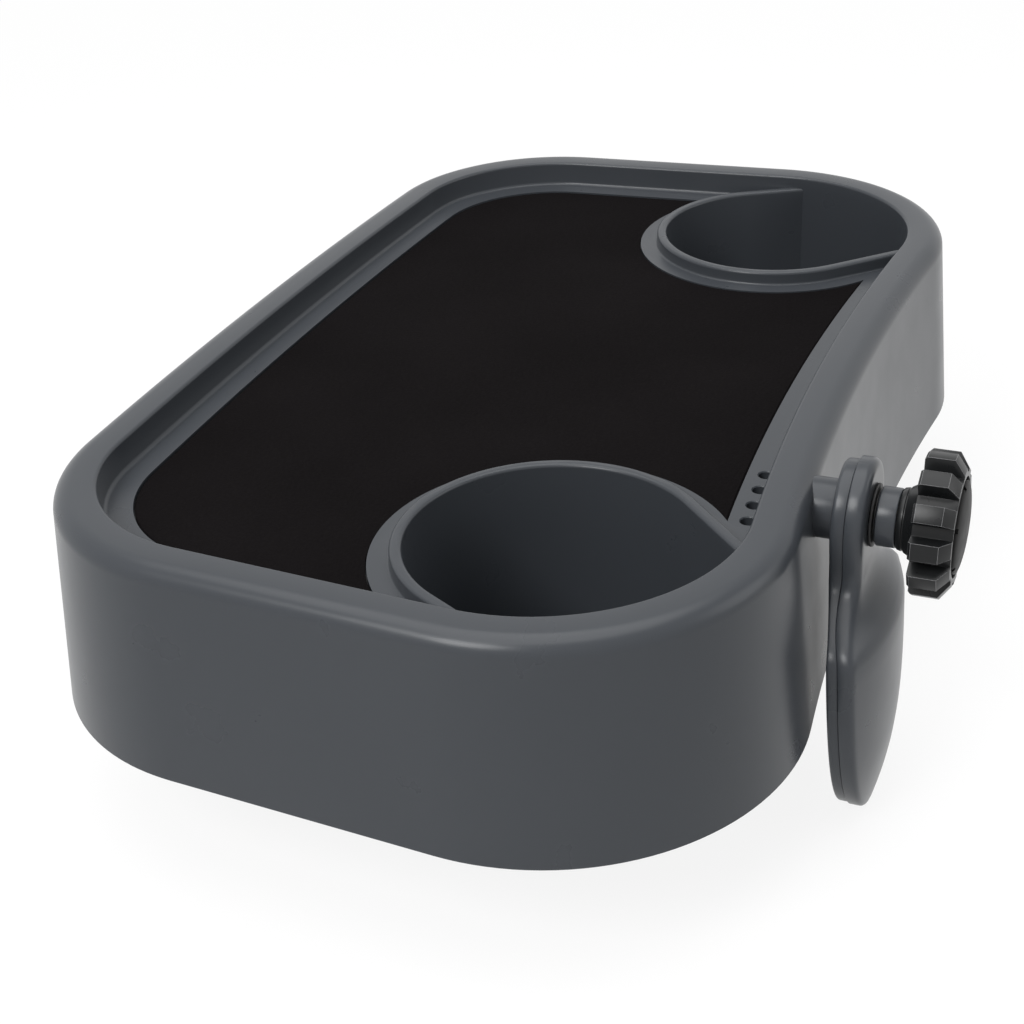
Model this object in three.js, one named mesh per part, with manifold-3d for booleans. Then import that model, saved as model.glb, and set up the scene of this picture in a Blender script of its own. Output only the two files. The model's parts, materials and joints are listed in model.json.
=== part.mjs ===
// Hot tub tray: a moulded tray with two cup wells that hangs on a tub wall by one screw clamp.
// Millimetres, +Z up. The rim is level, the hollow front faces -Y, and the clamp stud points to -Y.

import * as THREE from 'three';
import { mergeVertices } from 'three/addons/utils/BufferGeometryUtils.js';
import Module from 'manifold-3d';

const wasm = await Module();
wasm.setup();

// Tray plan, measured on the outer wall at the level of the rim
const TRAY_LENGTH = 398;
const TRAY_WIDTH = 241;
const BACK_LENGTH = 387;
const FRONT_CORNER_R = 78;
const BACK_CORNER_R = 71;
const FRONT_HOLLOW_R = 1140;
const BACK_BOW_R = 2450;

// Tray section
const RIM_WIDTH = 14;
const RIM_ROUND = 6;
const RIM_EDGE = 1.2;
const SKIRT_HEIGHT = 74;
const SKIRT_DRAFT = 0.086;
const WALL = 3;
const POCKET_DRAFT = 0.05;
const LEDGE_DROP = 10.3;
const LEDGE_WIDTH = 9.4;
const FLOOR_THICKNESS = 3;
const RIB_THICKNESS = 2.4;
const RIB_DEPTH = 9;
const RIB_SPACING = 52;

// Mat
const MAT_THICKNESS = 2;
const MAT_SINK = 0.4;
const MAT_CLEARANCE = 0.4;
const SEAT_GAP = 0.2;

// Cup wells, placed from the centre of the front corner
const CUP_R = 45;
const CUP_DEPTH = 66;
const CUP_DRAFT = 0.02;
const CUP_FLOOR_ROUND = 4;
const CUP_OUT = 12;
const CUP_FORWARD = 7;
const CUP_AIM = THREE.MathUtils.degToRad(-53.5);
const CUP_FLARE = THREE.MathUtils.degToRad(81.5);
const RING_WALL = 4;
const RING_DROP = 5;
const RING_LEDGE = 7;

// Drain holes in the front ledge
const DRAIN_COUNT = 4;
const DRAIN_R = 2.5;
const DRAIN_PITCH = 10;
const DRAIN_X = -83;
const DRAIN_INSET = 3.2;

// Clamp stud and its seat on the front wall
const CLAMP_X = -80;
const CLAMP_DROP = 12;
const BOSS_R = 9.6;
const BOSS_LENGTH = 7;
const STUD_R = 4;
const STUD_REACH = 36;
const STUD_POINT = 1;
const STUD_NECK = 8;
const STUD_HEAD_R = 8.5;
const STUD_HEAD_HEIGHT = 3.4;
const BORE_CLEARANCE = 0.3;
const SLEEVE_WALL = 1.3;
const CLIP_WIDTH = 2.4;
const CLIP_THICKNESS = 1;

// Backing plate behind the front wall, with its two screws
const PAD_DEPTH = 2.2;
const PLATE_LENGTH = 36;
const PLATE_HEIGHT = 13;
const PLATE_THICKNESS = 1.6;
const PLATE_SCREW_SPAN = 26;
const SCREW_R = 1.4;
const SCREW_HEAD_R = 2.8;
const SCREW_HEAD_HEIGHT = 1.8;
const PLATE_SCREW_REACH = 4.6;

// Paddle: distances below the stud axis, and outward from the end of the boss
const HUB_R = 17.8;
const HUB_THICKNESS = 10.4;
const HUB_SEAM = 4.6;
const BUSH_R = 6.2;
const BUSH_SHY = 0.3;
const NECK_END = 16;
const NECK_HALF_WIDTH = 15.5;
const BLADE_START = 36;
const BLADE_HALF_WIDTH = 36;
const BLADE_LENGTH = 105;
const BLADE_FULLNESS = 2.5;
const BLADE_SET = 4.6;
const BLADE_LEAN = 0.05;
const BLADE_INNER = 4;
const BLADE_OUTER = 4.6;
const BLADE_HOLLOW = 4.8;
const BLADE_CROWN = 7.5;
const BLADE_FADE = 3;
const BLADE_EDGE_ROUND = 1.6;
const PADDLE_SCREW_ALONG = [0.17, 0.43, 0.7];
const PADDLE_SCREW_ACROSS = [-0.5, 0.46, -0.26];
const PADDLE_SCREW_REACH = 4.2;
const PADDLE_SCREW_SINK = 0.6;

// Washers and knob, stacked outward on the stud
const RUBBER_WASHER_R = 10;
const RUBBER_WASHER_THICKNESS = 0.8;
const SLIP_WASHER_R = 8.4;
const SLIP_WASHER_THICKNESS = 0.5;
const COLLAR_R = 9.4;
const COLLAR_LENGTH = 6.2;
const INSERT_R = 6.5;
const INSERT_LENGTH = 15;
const INSERT_SHY = 1;
const KNOB_NECK_R = 11.5;
const KNOB_NECK_LENGTH = 5.9;
const KNOB_FLARE = 1.2;
const WHEEL_R = 22.8;
const WHEEL_ROOT_R = 17.4;
const WHEEL_THICKNESS = 12.2;
const WHEEL_CHAMFER = 1.4;
const LOBE_COUNT = 12;
const LOBE_WIDTH = 5.6;
const LOBE_TURN = THREE.MathUtils.degToRad(-5.7);
const CAP_R = 15.5;
const CAP_SEAT = 2;
const CAP_RISE = 1.4;
const CAP_EDGE = 0.7;

const ROUND_SIDES = 32;
const SMALL_SIDES = 16;
const CUT_MARGIN = 1;

const GREY = { color: 0x45484b, roughness: 0.38, metalness: 0 };
const BLACK = { color: 0x1b1c1d, roughness: 0.45, metalness: 0 };
const MAT_BLACK = { color: 0x0e0d0d, roughness: 0.95, metalness: 0 };
const STEEL = { color: 0xa9adb0, roughness: 0.3, metalness: 1 };
const BRASS = { color: 0xb08d4a, roughness: 0.35, metalness: 1 };
const RUBBER = { color: 0x141414, roughness: 0.8, metalness: 0 };

// Places that follow from the sizes above
const frontX = TRAY_LENGTH / 2 - FRONT_CORNER_R;
const frontY = CUP_FORWARD;
const backX = BACK_LENGTH / 2 - BACK_CORNER_R;
const backY = frontY - FRONT_CORNER_R + TRAY_WIDTH - BACK_CORNER_R;
const cupX = frontX + CUP_OUT;
const cupY = frontY - CUP_FORWARD;
const hollowY = frontY - Math.sqrt((FRONT_HOLLOW_R + FRONT_CORNER_R) ** 2 - frontX ** 2);
const bowY = backY - Math.sqrt((BACK_BOW_R - BACK_CORNER_R) ** 2 - backX ** 2);
const recessBottom = LEDGE_DROP + MAT_SINK + MAT_THICKNESS + SEAT_GAP;
const floorBottom = recessBottom + FLOOR_THICKNESS;
const innerEdge = -RIM_WIDTH;
const ledgeEdge = innerEdge - POCKET_DRAFT * LEDGE_DROP;
const clampOffset = SKIRT_DRAFT * CLAMP_DROP;
const clampWallY = frontWallY(CLAMP_X, clampOffset);
const bossEndY = clampWallY - BOSS_LENGTH;
const studBore = STUD_R + BORE_CLEARANCE;
const sleeveR = studBore + SLEEVE_WALL;
const clipR = studBore + CLIP_WIDTH;
const clipIn = -(SEAT_GAP + CLIP_THICKNESS);

// Solids and meshes

function solid(geometry) {
  const plain = geometry.index ? geometry.toNonIndexed() : geometry.clone();
  plain.deleteAttribute('normal');
  plain.deleteAttribute('uv');
  const merged = mergeVertices(plain, 1e-4);
  const triangles = Uint32Array.from(merged.index.array);
  const points = Float32Array.from(merged.attributes.position.array);
  if (signedVolume(points, triangles) < 0) {
    for (let i = 0; i < triangles.length; i += 3) {
      [triangles[i + 1], triangles[i + 2]] = [triangles[i + 2], triangles[i + 1]];
    }
  }
  const kept = [];
  for (let i = 0; i < triangles.length; i += 3) {
    const [a, b, c] = triangles.slice(i, i + 3);
    if (a !== b && b !== c && c !== a) kept.push(a, b, c);
  }
  const data = { numProp: 3, vertProperties: points, triVerts: Uint32Array.from(kept) };
  return new wasm.Manifold(new wasm.Mesh(data));
}

function signedVolume(points, triangles) {
  let total = 0;
  const [a, b, c] = [new THREE.Vector3(), new THREE.Vector3(), new THREE.Vector3()];
  for (let i = 0; i < triangles.length; i += 3) {
    a.fromArray(points, 3 * triangles[i]);
    b.fromArray(points, 3 * triangles[i + 1]);
    c.fromArray(points, 3 * triangles[i + 2]);
    total += a.dot(b.cross(c));
  }
  return total / 6;
}

function geometryOf(manifold) {
  const { vertProperties, triVerts, numProp } = manifold.getMesh();
  const points = new Float32Array((vertProperties.length / numProp) * 3);
  for (let i = 0; i < points.length / 3; i++) {
    points.set(vertProperties.subarray(i * numProp, i * numProp + 3), 3 * i);
  }
  const geometry = new THREE.BufferGeometry();
  geometry.setAttribute('position', new THREE.BufferAttribute(points, 3));
  geometry.setIndex(new THREE.BufferAttribute(Uint32Array.from(triVerts), 1));
  geometry.computeVertexNormals();
  return geometry;
}

function addMesh(group, name, manifold, finish) {
  const mesh = new THREE.Mesh(geometryOf(manifold), new THREE.MeshStandardMaterial(finish));
  mesh.name = name;
  group.add(mesh);
}

// A closed solid through level outlines that all have the same number of points
function loft(sections) {
  const count = sections[0].points.length;
  const points = sections.flatMap(({ points: ring, z }) => ring.flatMap((p) => [p.x, p.y, z]));
  const index = [];
  for (let level = 0; level + 1 < sections.length; level++) {
    for (let i = 0; i < count; i++) {
      const a = level * count + i;
      const b = level * count + ((i + 1) % count);
      index.push(a, b, b + count, a, b + count, a + count);
    }
  }
  const top = (sections.length - 1) * count;
  for (const [a, b, c] of THREE.ShapeUtils.triangulateShape(sections[0].points, [])) {
    index.push(a, c, b);
  }
  for (const [a, b, c] of THREE.ShapeUtils.triangulateShape(sections.at(-1).points, [])) {
    index.push(top + a, top + b, top + c);
  }
  const geometry = new THREE.BufferGeometry();
  geometry.setAttribute('position', new THREE.Float32BufferAttribute(points, 3));
  geometry.setIndex(index);
  return solid(geometry);
}

// A solid of revolution about the stud axis: profile points are [radius, distance outward]
function turned(profile, sides = ROUND_SIDES) {
  const points = profile.map(([r, s]) => new THREE.Vector2(r, -s));
  points.push(points[0].clone());
  return solid(new THREE.LatheGeometry(points, sides));
}

function rod(radius, from, to, sides = ROUND_SIDES) {
  return turned([[0, from], [radius, from], [radius, to], [0, to]], sides);
}

function tube(outer, inner, from, to, sides = ROUND_SIDES) {
  return turned([[inner, from], [outer, from], [outer, to], [inner, to]], sides);
}

function box(low, high) {
  const size = high.map((v, i) => v - low[i]);
  const middle = high.map((v, i) => (v + low[i]) / 2);
  return solid(new THREE.BoxGeometry(...size).translate(...middle));
}

function arc(x, y, radius, from, to, steps) {
  return Array.from({ length: steps }, (_, i) => {
    const angle = from + ((to - from) * i) / steps;
    return new THREE.Vector2(x + radius * Math.cos(angle), y + radius * Math.sin(angle));
  });
}

// Outline of the tray, moved outward from the outer wall at rim level
function outline(offset) {
  const reach = new THREE.Vector2(frontX - backX, frontY - backY);
  const side = reach.angle() + Math.acos((BACK_CORNER_R - FRONT_CORNER_R) / reach.length());
  const end = Math.atan2(Math.sin(side), Math.cos(side));
  const hollow = Math.atan2(frontY - hollowY, frontX);
  const front = Math.atan2(hollowY - frontY, -frontX);
  const back = Math.atan2(backY - bowY, backX);
  const frontR = FRONT_CORNER_R + offset;
  const backR = BACK_CORNER_R + offset;
  const cornerSteps = 10;
  const longSteps = 8;
  return [
    ...arc(0, hollowY, FRONT_HOLLOW_R - offset, Math.PI - hollow, hollow, longSteps),
    ...arc(frontX, frontY, frontR, front, end, cornerSteps),
    new THREE.Vector2(frontX + frontR * Math.cos(end), frontY + frontR * Math.sin(end)),
    ...arc(backX, backY, backR, end, back, cornerSteps),
    ...arc(0, bowY, BACK_BOW_R + offset, back, Math.PI - back, longSteps),
    ...arc(-backX, backY, backR, Math.PI - back, Math.PI - end, cornerSteps),
    new THREE.Vector2(-backX + backR * Math.cos(Math.PI - end), backY + backR * Math.sin(end)),
    ...arc(-frontX, frontY, frontR, Math.PI - end, Math.PI - front, cornerSteps),
  ];
}

function frontWallY(x, offset) {
  return hollowY + Math.sqrt((FRONT_HOLLOW_R - offset) ** 2 - x ** 2);
}

const level = (offset, z) => ({ points: outline(offset), z });

// Tray shell

function outerBody() {
  const sections = [level(SKIRT_DRAFT * SKIRT_HEIGHT, -SKIRT_HEIGHT)];
  const steps = 4;
  for (let i = 0; i <= steps; i++) {
    const angle = (Math.PI / 2) * (i / steps);
    const z = -RIM_ROUND * (1 - Math.sin(angle));
    const offset = SKIRT_DRAFT * RIM_ROUND * Math.cos(angle) - RIM_ROUND * (1 - Math.cos(angle));
    sections.push(level(offset, z));
  }
  return loft(sections);
}

function pocket() {
  return loft([
    level(ledgeEdge, -LEDGE_DROP),
    level(innerEdge - POCKET_DRAFT * RIM_EDGE, -RIM_EDGE),
    level(innerEdge + RIM_EDGE / 3, -RIM_EDGE / 3),
    level(innerEdge + RIM_EDGE, 0),
    level(innerEdge + RIM_EDGE, CUT_MARGIN),
  ]);
}

// Space inside the rim, carried down past the cup floors, grown outward by the given amount
function rimSpace(grow) {
  const bottom = CUP_DEPTH + WALL + CUT_MARGIN;
  return loft([
    level(ledgeEdge - CUP_DRAFT * (bottom - LEDGE_DROP) + grow, -bottom),
    level(ledgeEdge + grow, -LEDGE_DROP),
    level(innerEdge + grow, 0),
    level(innerEdge + grow, CUT_MARGIN),
  ]);
}

// Plan of a cup well: a round side, then two straight flares that run into the tray wall
function cupPlan(side, grow) {
  const radius = CUP_R + grow;
  const from = CUP_AIM + CUP_FLARE;
  const to = CUP_AIM + 2 * Math.PI - CUP_FLARE;
  const steps = 20;
  const run = 2 * FRONT_CORNER_R;
  const ring = arc(cupX, cupY, radius, from, to, steps);
  const last = new THREE.Vector2(cupX + radius * Math.cos(to), cupY + radius * Math.sin(to));
  ring.push(last);
  ring.push(new THREE.Vector2(last.x - run * Math.sin(to), last.y + run * Math.cos(to)));
  const first = ring[0];
  ring.push(new THREE.Vector2(first.x + run * Math.sin(from), first.y - run * Math.cos(from)));
  if (side > 0) return ring;
  return ring.map((p) => new THREE.Vector2(-p.x, p.y)).reverse();
}

function cupCavity(side) {
  const at = (depth, inset) => ({ points: cupPlan(side, -inset), z: -depth });
  const bottomInset = CUP_DRAFT * CUP_DEPTH;
  const round = CUP_FLOOR_ROUND;
  return loft([
    at(CUP_DEPTH, bottomInset + round),
    at(CUP_DEPTH - 0.3 * round, bottomInset + 0.3 * round),
    at(CUP_DEPTH - round, bottomInset),
    at(-CUT_MARGIN, 0),
  ]);
}

function cupBlock(side) {
  const bottom = CUP_DEPTH + WALL;
  return loft([
    { points: cupPlan(side, WALL - CUP_DRAFT * CUP_DEPTH), z: -bottom },
    { points: cupPlan(side, WALL), z: 0 },
  ]);
}

function ring(side) {
  return loft([
    { points: cupPlan(side, RING_WALL), z: -LEDGE_DROP - MAT_SINK },
    { points: cupPlan(side, RING_WALL - POCKET_DRAFT * (LEDGE_DROP - RING_DROP)), z: -RING_DROP },
  ]);
}

function upright(radius, x, y, low, high, sides = ROUND_SIDES) {
  const geometry = new THREE.CylinderGeometry(radius, radius, high - low, sides);
  return solid(geometry.rotateX(Math.PI / 2).translate(x, y, (low + high) / 2));
}

function matPlan(clearance, low, high) {
  const edge = ledgeEdge - LEDGE_WIDTH - clearance;
  const around = CUP_R + RING_WALL + RING_LEDGE + clearance;
  let mat = loft([level(edge, low), level(edge, high)]);
  for (const side of [-1, 1]) {
    mat = mat.subtract(upright(around, side * cupX, cupY, low - CUT_MARGIN, high + CUT_MARGIN, 48));
  }
  return mat;
}

function underside() {
  const bottom = SKIRT_HEIGHT + CUT_MARGIN;
  let hollow = loft([
    level(SKIRT_DRAFT * bottom - WALL, -bottom),
    level(SKIRT_DRAFT * RIM_ROUND - WALL, -RIM_ROUND),
    level(-RIM_ROUND, -WALL),
  ]);
  hollow = hollow.subtract(loft([
    level(ledgeEdge + WALL, -floorBottom),
    level(innerEdge + WALL, 0),
  ]));
  const outside = rimSpace(WALL);
  for (const side of [-1, 1]) hollow = hollow.subtract(cupBlock(side).intersect(outside));
  return hollow;
}

function ribs() {
  const low = -floorBottom - RIB_DEPTH;
  const high = -floorBottom + CUT_MARGIN;
  const half = RIB_THICKNESS / 2;
  const reach = TRAY_LENGTH;
  const bars = [-1, 0, 1].map((step) => {
    const x = step * RIB_SPACING;
    return box([x - half, -reach, low], [x + half, reach, high]);
  });
  for (const y of [backY, backY - RIB_SPACING]) {
    bars.push(box([-reach, y - half, low], [reach, y + half, high]));
  }
  const edge = ledgeEdge - WALL;
  const inside = loft([level(edge, low - CUT_MARGIN), level(edge, high + CUT_MARGIN)]);
  return bars.reduce((a, b) => a.add(b)).intersect(inside);
}

function atClamp(manifold) {
  return manifold.translate([CLAMP_X, bossEndY, -CLAMP_DROP]);
}

// Distances outward from the end of the boss, so these faces inside the tray are negative
const wallIn = -(BOSS_LENGTH + WALL);
const padIn = wallIn - PAD_DEPTH;
const plateOut = padIn - SEAT_GAP;
const plateIn = plateOut - PLATE_THICKNESS;
const headOut = plateIn - SEAT_GAP;

function boss() {
  const half = [PLATE_LENGTH / 2 + 1, PLATE_HEIGHT / 2 + 1];
  const pad = box([-half[0], -wallIn - CUT_MARGIN, -half[1]], [half[0], -padIn, half[1]]);
  return rod(BOSS_R, wallIn + CUT_MARGIN, 0).add(pad);
}

function studHole() {
  const neck = STUD_NECK / 2 + BORE_CLEARANCE;
  const square = box([-neck, BOSS_LENGTH, -neck], [neck, -padIn + CUT_MARGIN, neck]);
  const sleeveHole = rod(sleeveR + BORE_CLEARANCE, -BOSS_LENGTH, CUT_MARGIN);
  const clipRecess = rod(clipR + BORE_CLEARANCE, clipIn - SEAT_GAP, CUT_MARGIN);
  let holes = sleeveHole.add(clipRecess).add(square);
  for (const side of [-1, 1]) {
    const reach = plateIn + PLATE_SCREW_REACH + SEAT_GAP;
    const hole = rod(SCREW_R + BORE_CLEARANCE, padIn - CUT_MARGIN, reach, SMALL_SIDES);
    holes = holes.add(hole.translate([(side * PLATE_SCREW_SPAN) / 2, 0, 0]));
  }
  return holes;
}

function drains() {
  const cuts = Array.from({ length: DRAIN_COUNT }, (_, i) => {
    const x = DRAIN_X + (i - (DRAIN_COUNT - 1) / 2) * DRAIN_PITCH;
    const y = frontWallY(x, ledgeEdge) + DRAIN_INSET;
    const low = -floorBottom - CUT_MARGIN;
    return upright(DRAIN_R, x, y, low, -LEDGE_DROP + CUT_MARGIN, SMALL_SIDES);
  });
  return cuts.reduce((a, b) => a.add(b));
}

function trayBody() {
  let shell = outerBody().subtract(pocket());
  const inside = rimSpace(CUT_MARGIN);
  for (const side of [-1, 1]) shell = shell.add(ring(side).intersect(inside));
  const cupSpace = rimSpace(0);
  for (const side of [-1, 1]) shell = shell.subtract(cupCavity(side).intersect(cupSpace));
  shell = shell.subtract(matPlan(0, -recessBottom, -LEDGE_DROP + CUT_MARGIN));
  shell = shell.subtract(underside().subtract(ribs()));
  return shell.add(atClamp(boss())).subtract(atClamp(studHole())).subtract(drains());
}

// The tray is welded from four mouldings that meet at its creases: the rim with its skirt, the deck,
// and two wells with their rings

function wellRegion(side, grow) {
  const bottom = CUP_DEPTH + WALL + 2 * CUT_MARGIN;
  const seat = -floorBottom - SEAT_GAP + grow;
  const plan = (offset) => ({ points: cupPlan(side, RING_WALL + offset) });
  const well = loft([{ ...plan(grow), z: -bottom }, { ...plan(grow), z: CUT_MARGIN }]);
  const inner = ledgeEdge - SEAT_GAP + grow;
  const upper = loft([level(inner, seat - CUT_MARGIN), level(inner + POCKET_DRAFT * LEDGE_DROP, CUT_MARGIN)]);
  const lower = loft([level(ledgeEdge + 2 * WALL, -bottom), level(ledgeEdge + 2 * WALL, seat)]);
  return well.intersect(upper.add(lower));
}

function deckRegion(grow) {
  const edge = ledgeEdge - SEAT_GAP + grow;
  const low = -floorBottom - RIB_DEPTH - CUT_MARGIN;
  return loft([level(edge, low), level(edge, -LEDGE_DROP + SEAT_GAP / 2)]);
}

function traySplit() {
  const body = trayBody();
  const wells = [-1, 1].map((side) => body.intersect(wellRegion(side, 0)));
  const spared = wellRegion(-1, SEAT_GAP).add(wellRegion(1, SEAT_GAP));
  return {
    rim: body.subtract(spared).subtract(deckRegion(SEAT_GAP)),
    deck: body.subtract(spared).intersect(deckRegion(0)),
    wells,
  };
}

// Stud, backing plate and screws

function stud() {
  const neck = STUD_NECK / 2;
  const head = turned([
    [0, headOut],
    [STUD_HEAD_R, headOut],
    [STUD_HEAD_R, headOut - 0.3 * STUD_HEAD_HEIGHT],
    [0.6 * STUD_HEAD_R, headOut - 0.85 * STUD_HEAD_HEIGHT],
    [0, headOut - STUD_HEAD_HEIGHT],
  ]);
  const square = box([-neck, BOSS_LENGTH + SEAT_GAP, -neck], [neck, -headOut + SEAT_GAP, neck]);
  const shank = turned([
    [0, headOut - SEAT_GAP],
    [STUD_R, headOut - SEAT_GAP],
    [STUD_R, STUD_REACH - STUD_POINT],
    [STUD_R - STUD_POINT, STUD_REACH],
    [0, STUD_REACH],
  ]);
  return head.add(square).add(shank);
}

function backingPlate() {
  const [x, z] = [PLATE_LENGTH / 2, PLATE_HEIGHT / 2];
  const neck = STUD_NECK / 2 + BORE_CLEARANCE;
  let plate = box([-x, -plateOut, -z], [x, -plateIn, z]);
  plate = plate.subtract(box([-neck, 0, -neck], [neck, -plateIn + CUT_MARGIN, neck]));
  for (const side of [-1, 1]) {
    const hole = rod(SCREW_R + BORE_CLEARANCE, plateIn - CUT_MARGIN, plateOut + CUT_MARGIN, SMALL_SIDES);
    plate = plate.subtract(hole.translate([(side * PLATE_SCREW_SPAN) / 2, 0, 0]));
  }
  return plate;
}

// A small pan-head screw along the stud axis, seated at one distance and reaching outward
function screw(seat, reach) {
  return turned([
    [0, seat - SCREW_HEAD_HEIGHT],
    [0.6 * SCREW_HEAD_R, seat - SCREW_HEAD_HEIGHT],
    [SCREW_HEAD_R, seat - 0.6 * SCREW_HEAD_HEIGHT],
    [SCREW_HEAD_R, seat],
    [SCREW_R, seat],
    [SCREW_R, seat + reach - SCREW_R],
    [0, seat + reach],
  ], SMALL_SIDES);
}

// Paddle halves: one surface grid from the top of the hub to the tip of the blade

function smooth(from, to, value) {
  return THREE.MathUtils.smoothstep(value, from, to);
}

const lerp = THREE.MathUtils.lerp;
const bladeShare = (drop) => smooth(NECK_END, BLADE_START, drop);
const tipShare = (drop) => Math.max(0, (drop - BLADE_START) / (BLADE_LENGTH - BLADE_START));

// Half width of the plan: a round hub, a narrower neck, and a leaf
function halfWidth(drop) {
  if (drop < 0) return Math.sqrt(HUB_R ** 2 - drop ** 2);
  if (drop > BLADE_START) {
    return BLADE_HALF_WIDTH * (1 - tipShare(drop) ** BLADE_FULLNESS) ** (1 / BLADE_FULLNESS);
  }
  const neck = lerp(HUB_R, NECK_HALF_WIDTH, smooth(0, NECK_END, drop));
  return lerp(neck, BLADE_HALF_WIDTH, bladeShare(drop));
}

function paddleRows() {
  const drops = [];
  const hubSteps = 7;
  const neckSteps = 3;
  const flareSteps = 6;
  const tipSteps = 11;
  const tipStop = 0.97;
  for (let i = 1; i <= hubSteps; i++) drops.push(-HUB_R * Math.cos((Math.PI / 2) * (i / hubSteps)));
  for (let i = 1; i <= neckSteps; i++) drops.push((NECK_END * i) / neckSteps);
  for (let i = 1; i <= flareSteps; i++) drops.push(lerp(NECK_END, BLADE_START, i / flareSteps));
  for (let i = 1; i <= tipSteps; i++) {
    const share = Math.sin((Math.PI / 2) * tipStop * (i / tipSteps)) ** (2 / BLADE_FULLNESS);
    drops.push(lerp(BLADE_START, BLADE_LENGTH, share));
  }
  return drops.map((drop) => ({ drop, half: halfWidth(drop) }));
}

// The blade arches away from the wall between its edges, and the arch fades to nothing at the tip
const arch = (drop, share) => bladeShare(drop) * (1 - tipShare(drop) ** BLADE_FADE) * (1 - share ** 2);
const rootFace = (drop) => {
  return SEAT_GAP + BLADE_SET * bladeShare(drop) + BLADE_LEAN * Math.max(0, drop - BLADE_START);
};
const innerFace = (drop, share) => rootFace(drop) + BLADE_HOLLOW * arch(drop, share);
const seamFace = (drop, share) => {
  const flat = lerp(SEAT_GAP + HUB_SEAM, rootFace(drop) + BLADE_INNER, bladeShare(drop));
  return flat + BLADE_HOLLOW * arch(drop, share);
};
const outerFace = (drop, share) => {
  const blade = rootFace(drop) + BLADE_INNER + BLADE_OUTER;
  return lerp(SEAT_GAP + HUB_THICKNESS, blade, bladeShare(drop)) + BLADE_CROWN * arch(drop, share);
};

function paddleHalf(lowFace, highFace, roundLow, roundHigh) {
  const across = [-1, -0.94, -0.7, -0.36, 0, 0.36, 0.7, 0.94, 1];
  const rows = paddleRows();
  const grid = (face, round) => rows.map(({ drop, half }) => across.map((share) => {
    const edge = Math.abs(share) === 1 ? round : 0;
    return [share * half, -(face(drop, share) + edge), -drop];
  }));
  const low = grid(lowFace, roundLow);
  const high = grid(highFace, roundHigh);
  const points = [...low, ...high].flat(2);
  const width = across.length;
  const shift = rows.length * width;
  const index = [];
  const quad = (a, b, c, d) => index.push(a, b, c, a, c, d);
  for (let r = 0; r + 1 < rows.length; r++) {
    for (let c = 0; c + 1 < width; c++) {
      const a = r * width + c;
      quad(a, a + 1, a + width + 1, a + width);
      quad(shift + a, shift + a + width, shift + a + width + 1, shift + a + 1);
    }
    for (const [c, flip] of [[0, false], [width - 1, true]]) {
      const a = r * width + c;
      if (flip) quad(a, shift + a, shift + a + width, a + width);
      else quad(a, a + width, shift + a + width, shift + a);
    }
  }
  for (const [r, flip] of [[0, true], [rows.length - 1, false]]) {
    for (let c = 0; c + 1 < width; c++) {
      const a = r * width + c;
      if (flip) quad(a, shift + a, shift + a + 1, a + 1);
      else quad(a, a + 1, shift + a + 1, shift + a);
    }
  }
  const geometry = new THREE.BufferGeometry();
  geometry.setAttribute('position', new THREE.Float32BufferAttribute(points, 3));
  geometry.setIndex(index);
  return solid(geometry);
}

// The screws stand at shares of the blade's length and half width
const screwDrop = (i) => lerp(BLADE_START, BLADE_LENGTH, PADDLE_SCREW_ALONG[i]);
const screwSeat = (i) => {
  return innerFace(screwDrop(i), PADDLE_SCREW_ACROSS[i]) + SCREW_HEAD_HEIGHT + PADDLE_SCREW_SINK;
};

function paddleScrewAt(i, manifold) {
  const drop = screwDrop(i);
  return manifold.translate([PADDLE_SCREW_ACROSS[i] * halfWidth(drop), 0, -drop]);
}

function drilled(half) {
  const bore = rod(BUSH_R + BORE_CLEARANCE, -CUT_MARGIN, 2 * HUB_THICKNESS);
  let cut = half.subtract(bore);
  PADDLE_SCREW_ALONG.forEach((_, i) => {
    const seat = screwSeat(i) + SEAT_GAP;
    const reach = screwSeat(i) + PADDLE_SCREW_REACH + SEAT_GAP;
    const recess = rod(SCREW_HEAD_R + BORE_CLEARANCE, -CUT_MARGIN, seat, SMALL_SIDES);
    const hole = rod(SCREW_R + BORE_CLEARANCE, -CUT_MARGIN, reach, SMALL_SIDES);
    cut = cut.subtract(paddleScrewAt(i, recess.add(hole)));
  });
  return cut;
}

// Washers and knob

const hubOut = SEAT_GAP + HUB_THICKNESS;
const rubberIn = hubOut + SEAT_GAP;
const rubberOut = rubberIn + RUBBER_WASHER_THICKNESS;
const slipIn = rubberOut + SEAT_GAP;
const slipOut = slipIn + SLIP_WASHER_THICKNESS;
const collarIn = slipOut + SEAT_GAP;
const collarOut = collarIn + COLLAR_LENGTH;
const insertIn = collarIn + INSERT_SHY;
const insertOut = insertIn + INSERT_LENGTH;
const neckIn = collarOut + SEAT_GAP;
const wheelIn = neckIn + KNOB_NECK_LENGTH;
const wheelOut = wheelIn + WHEEL_THICKNESS;
const capIn = wheelOut - CAP_SEAT;

function wheelPlan() {
  const shape = new THREE.Shape();
  const pitch = (2 * Math.PI) / LOBE_COUNT;
  for (let i = 0; i < LOBE_COUNT; i++) {
    const middle = i * pitch + LOBE_TURN;
    const half = Math.asin(LOBE_WIDTH / 2 / WHEEL_R);
    const rootHalf = Math.asin(LOBE_WIDTH / 2 / WHEEL_ROOT_R);
    const corners = [
      [WHEEL_ROOT_R, -rootHalf],
      [WHEEL_R, -half],
      [WHEEL_R, half],
      [WHEEL_ROOT_R, rootHalf],
    ];
    for (const [r, turn] of corners) {
      const x = r * Math.cos(middle + turn);
      const y = r * Math.sin(middle + turn);
      if (i === 0 && turn === -rootHalf) shape.moveTo(x, y);
      else shape.lineTo(x, y);
    }
  }
  return shape;
}

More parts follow.
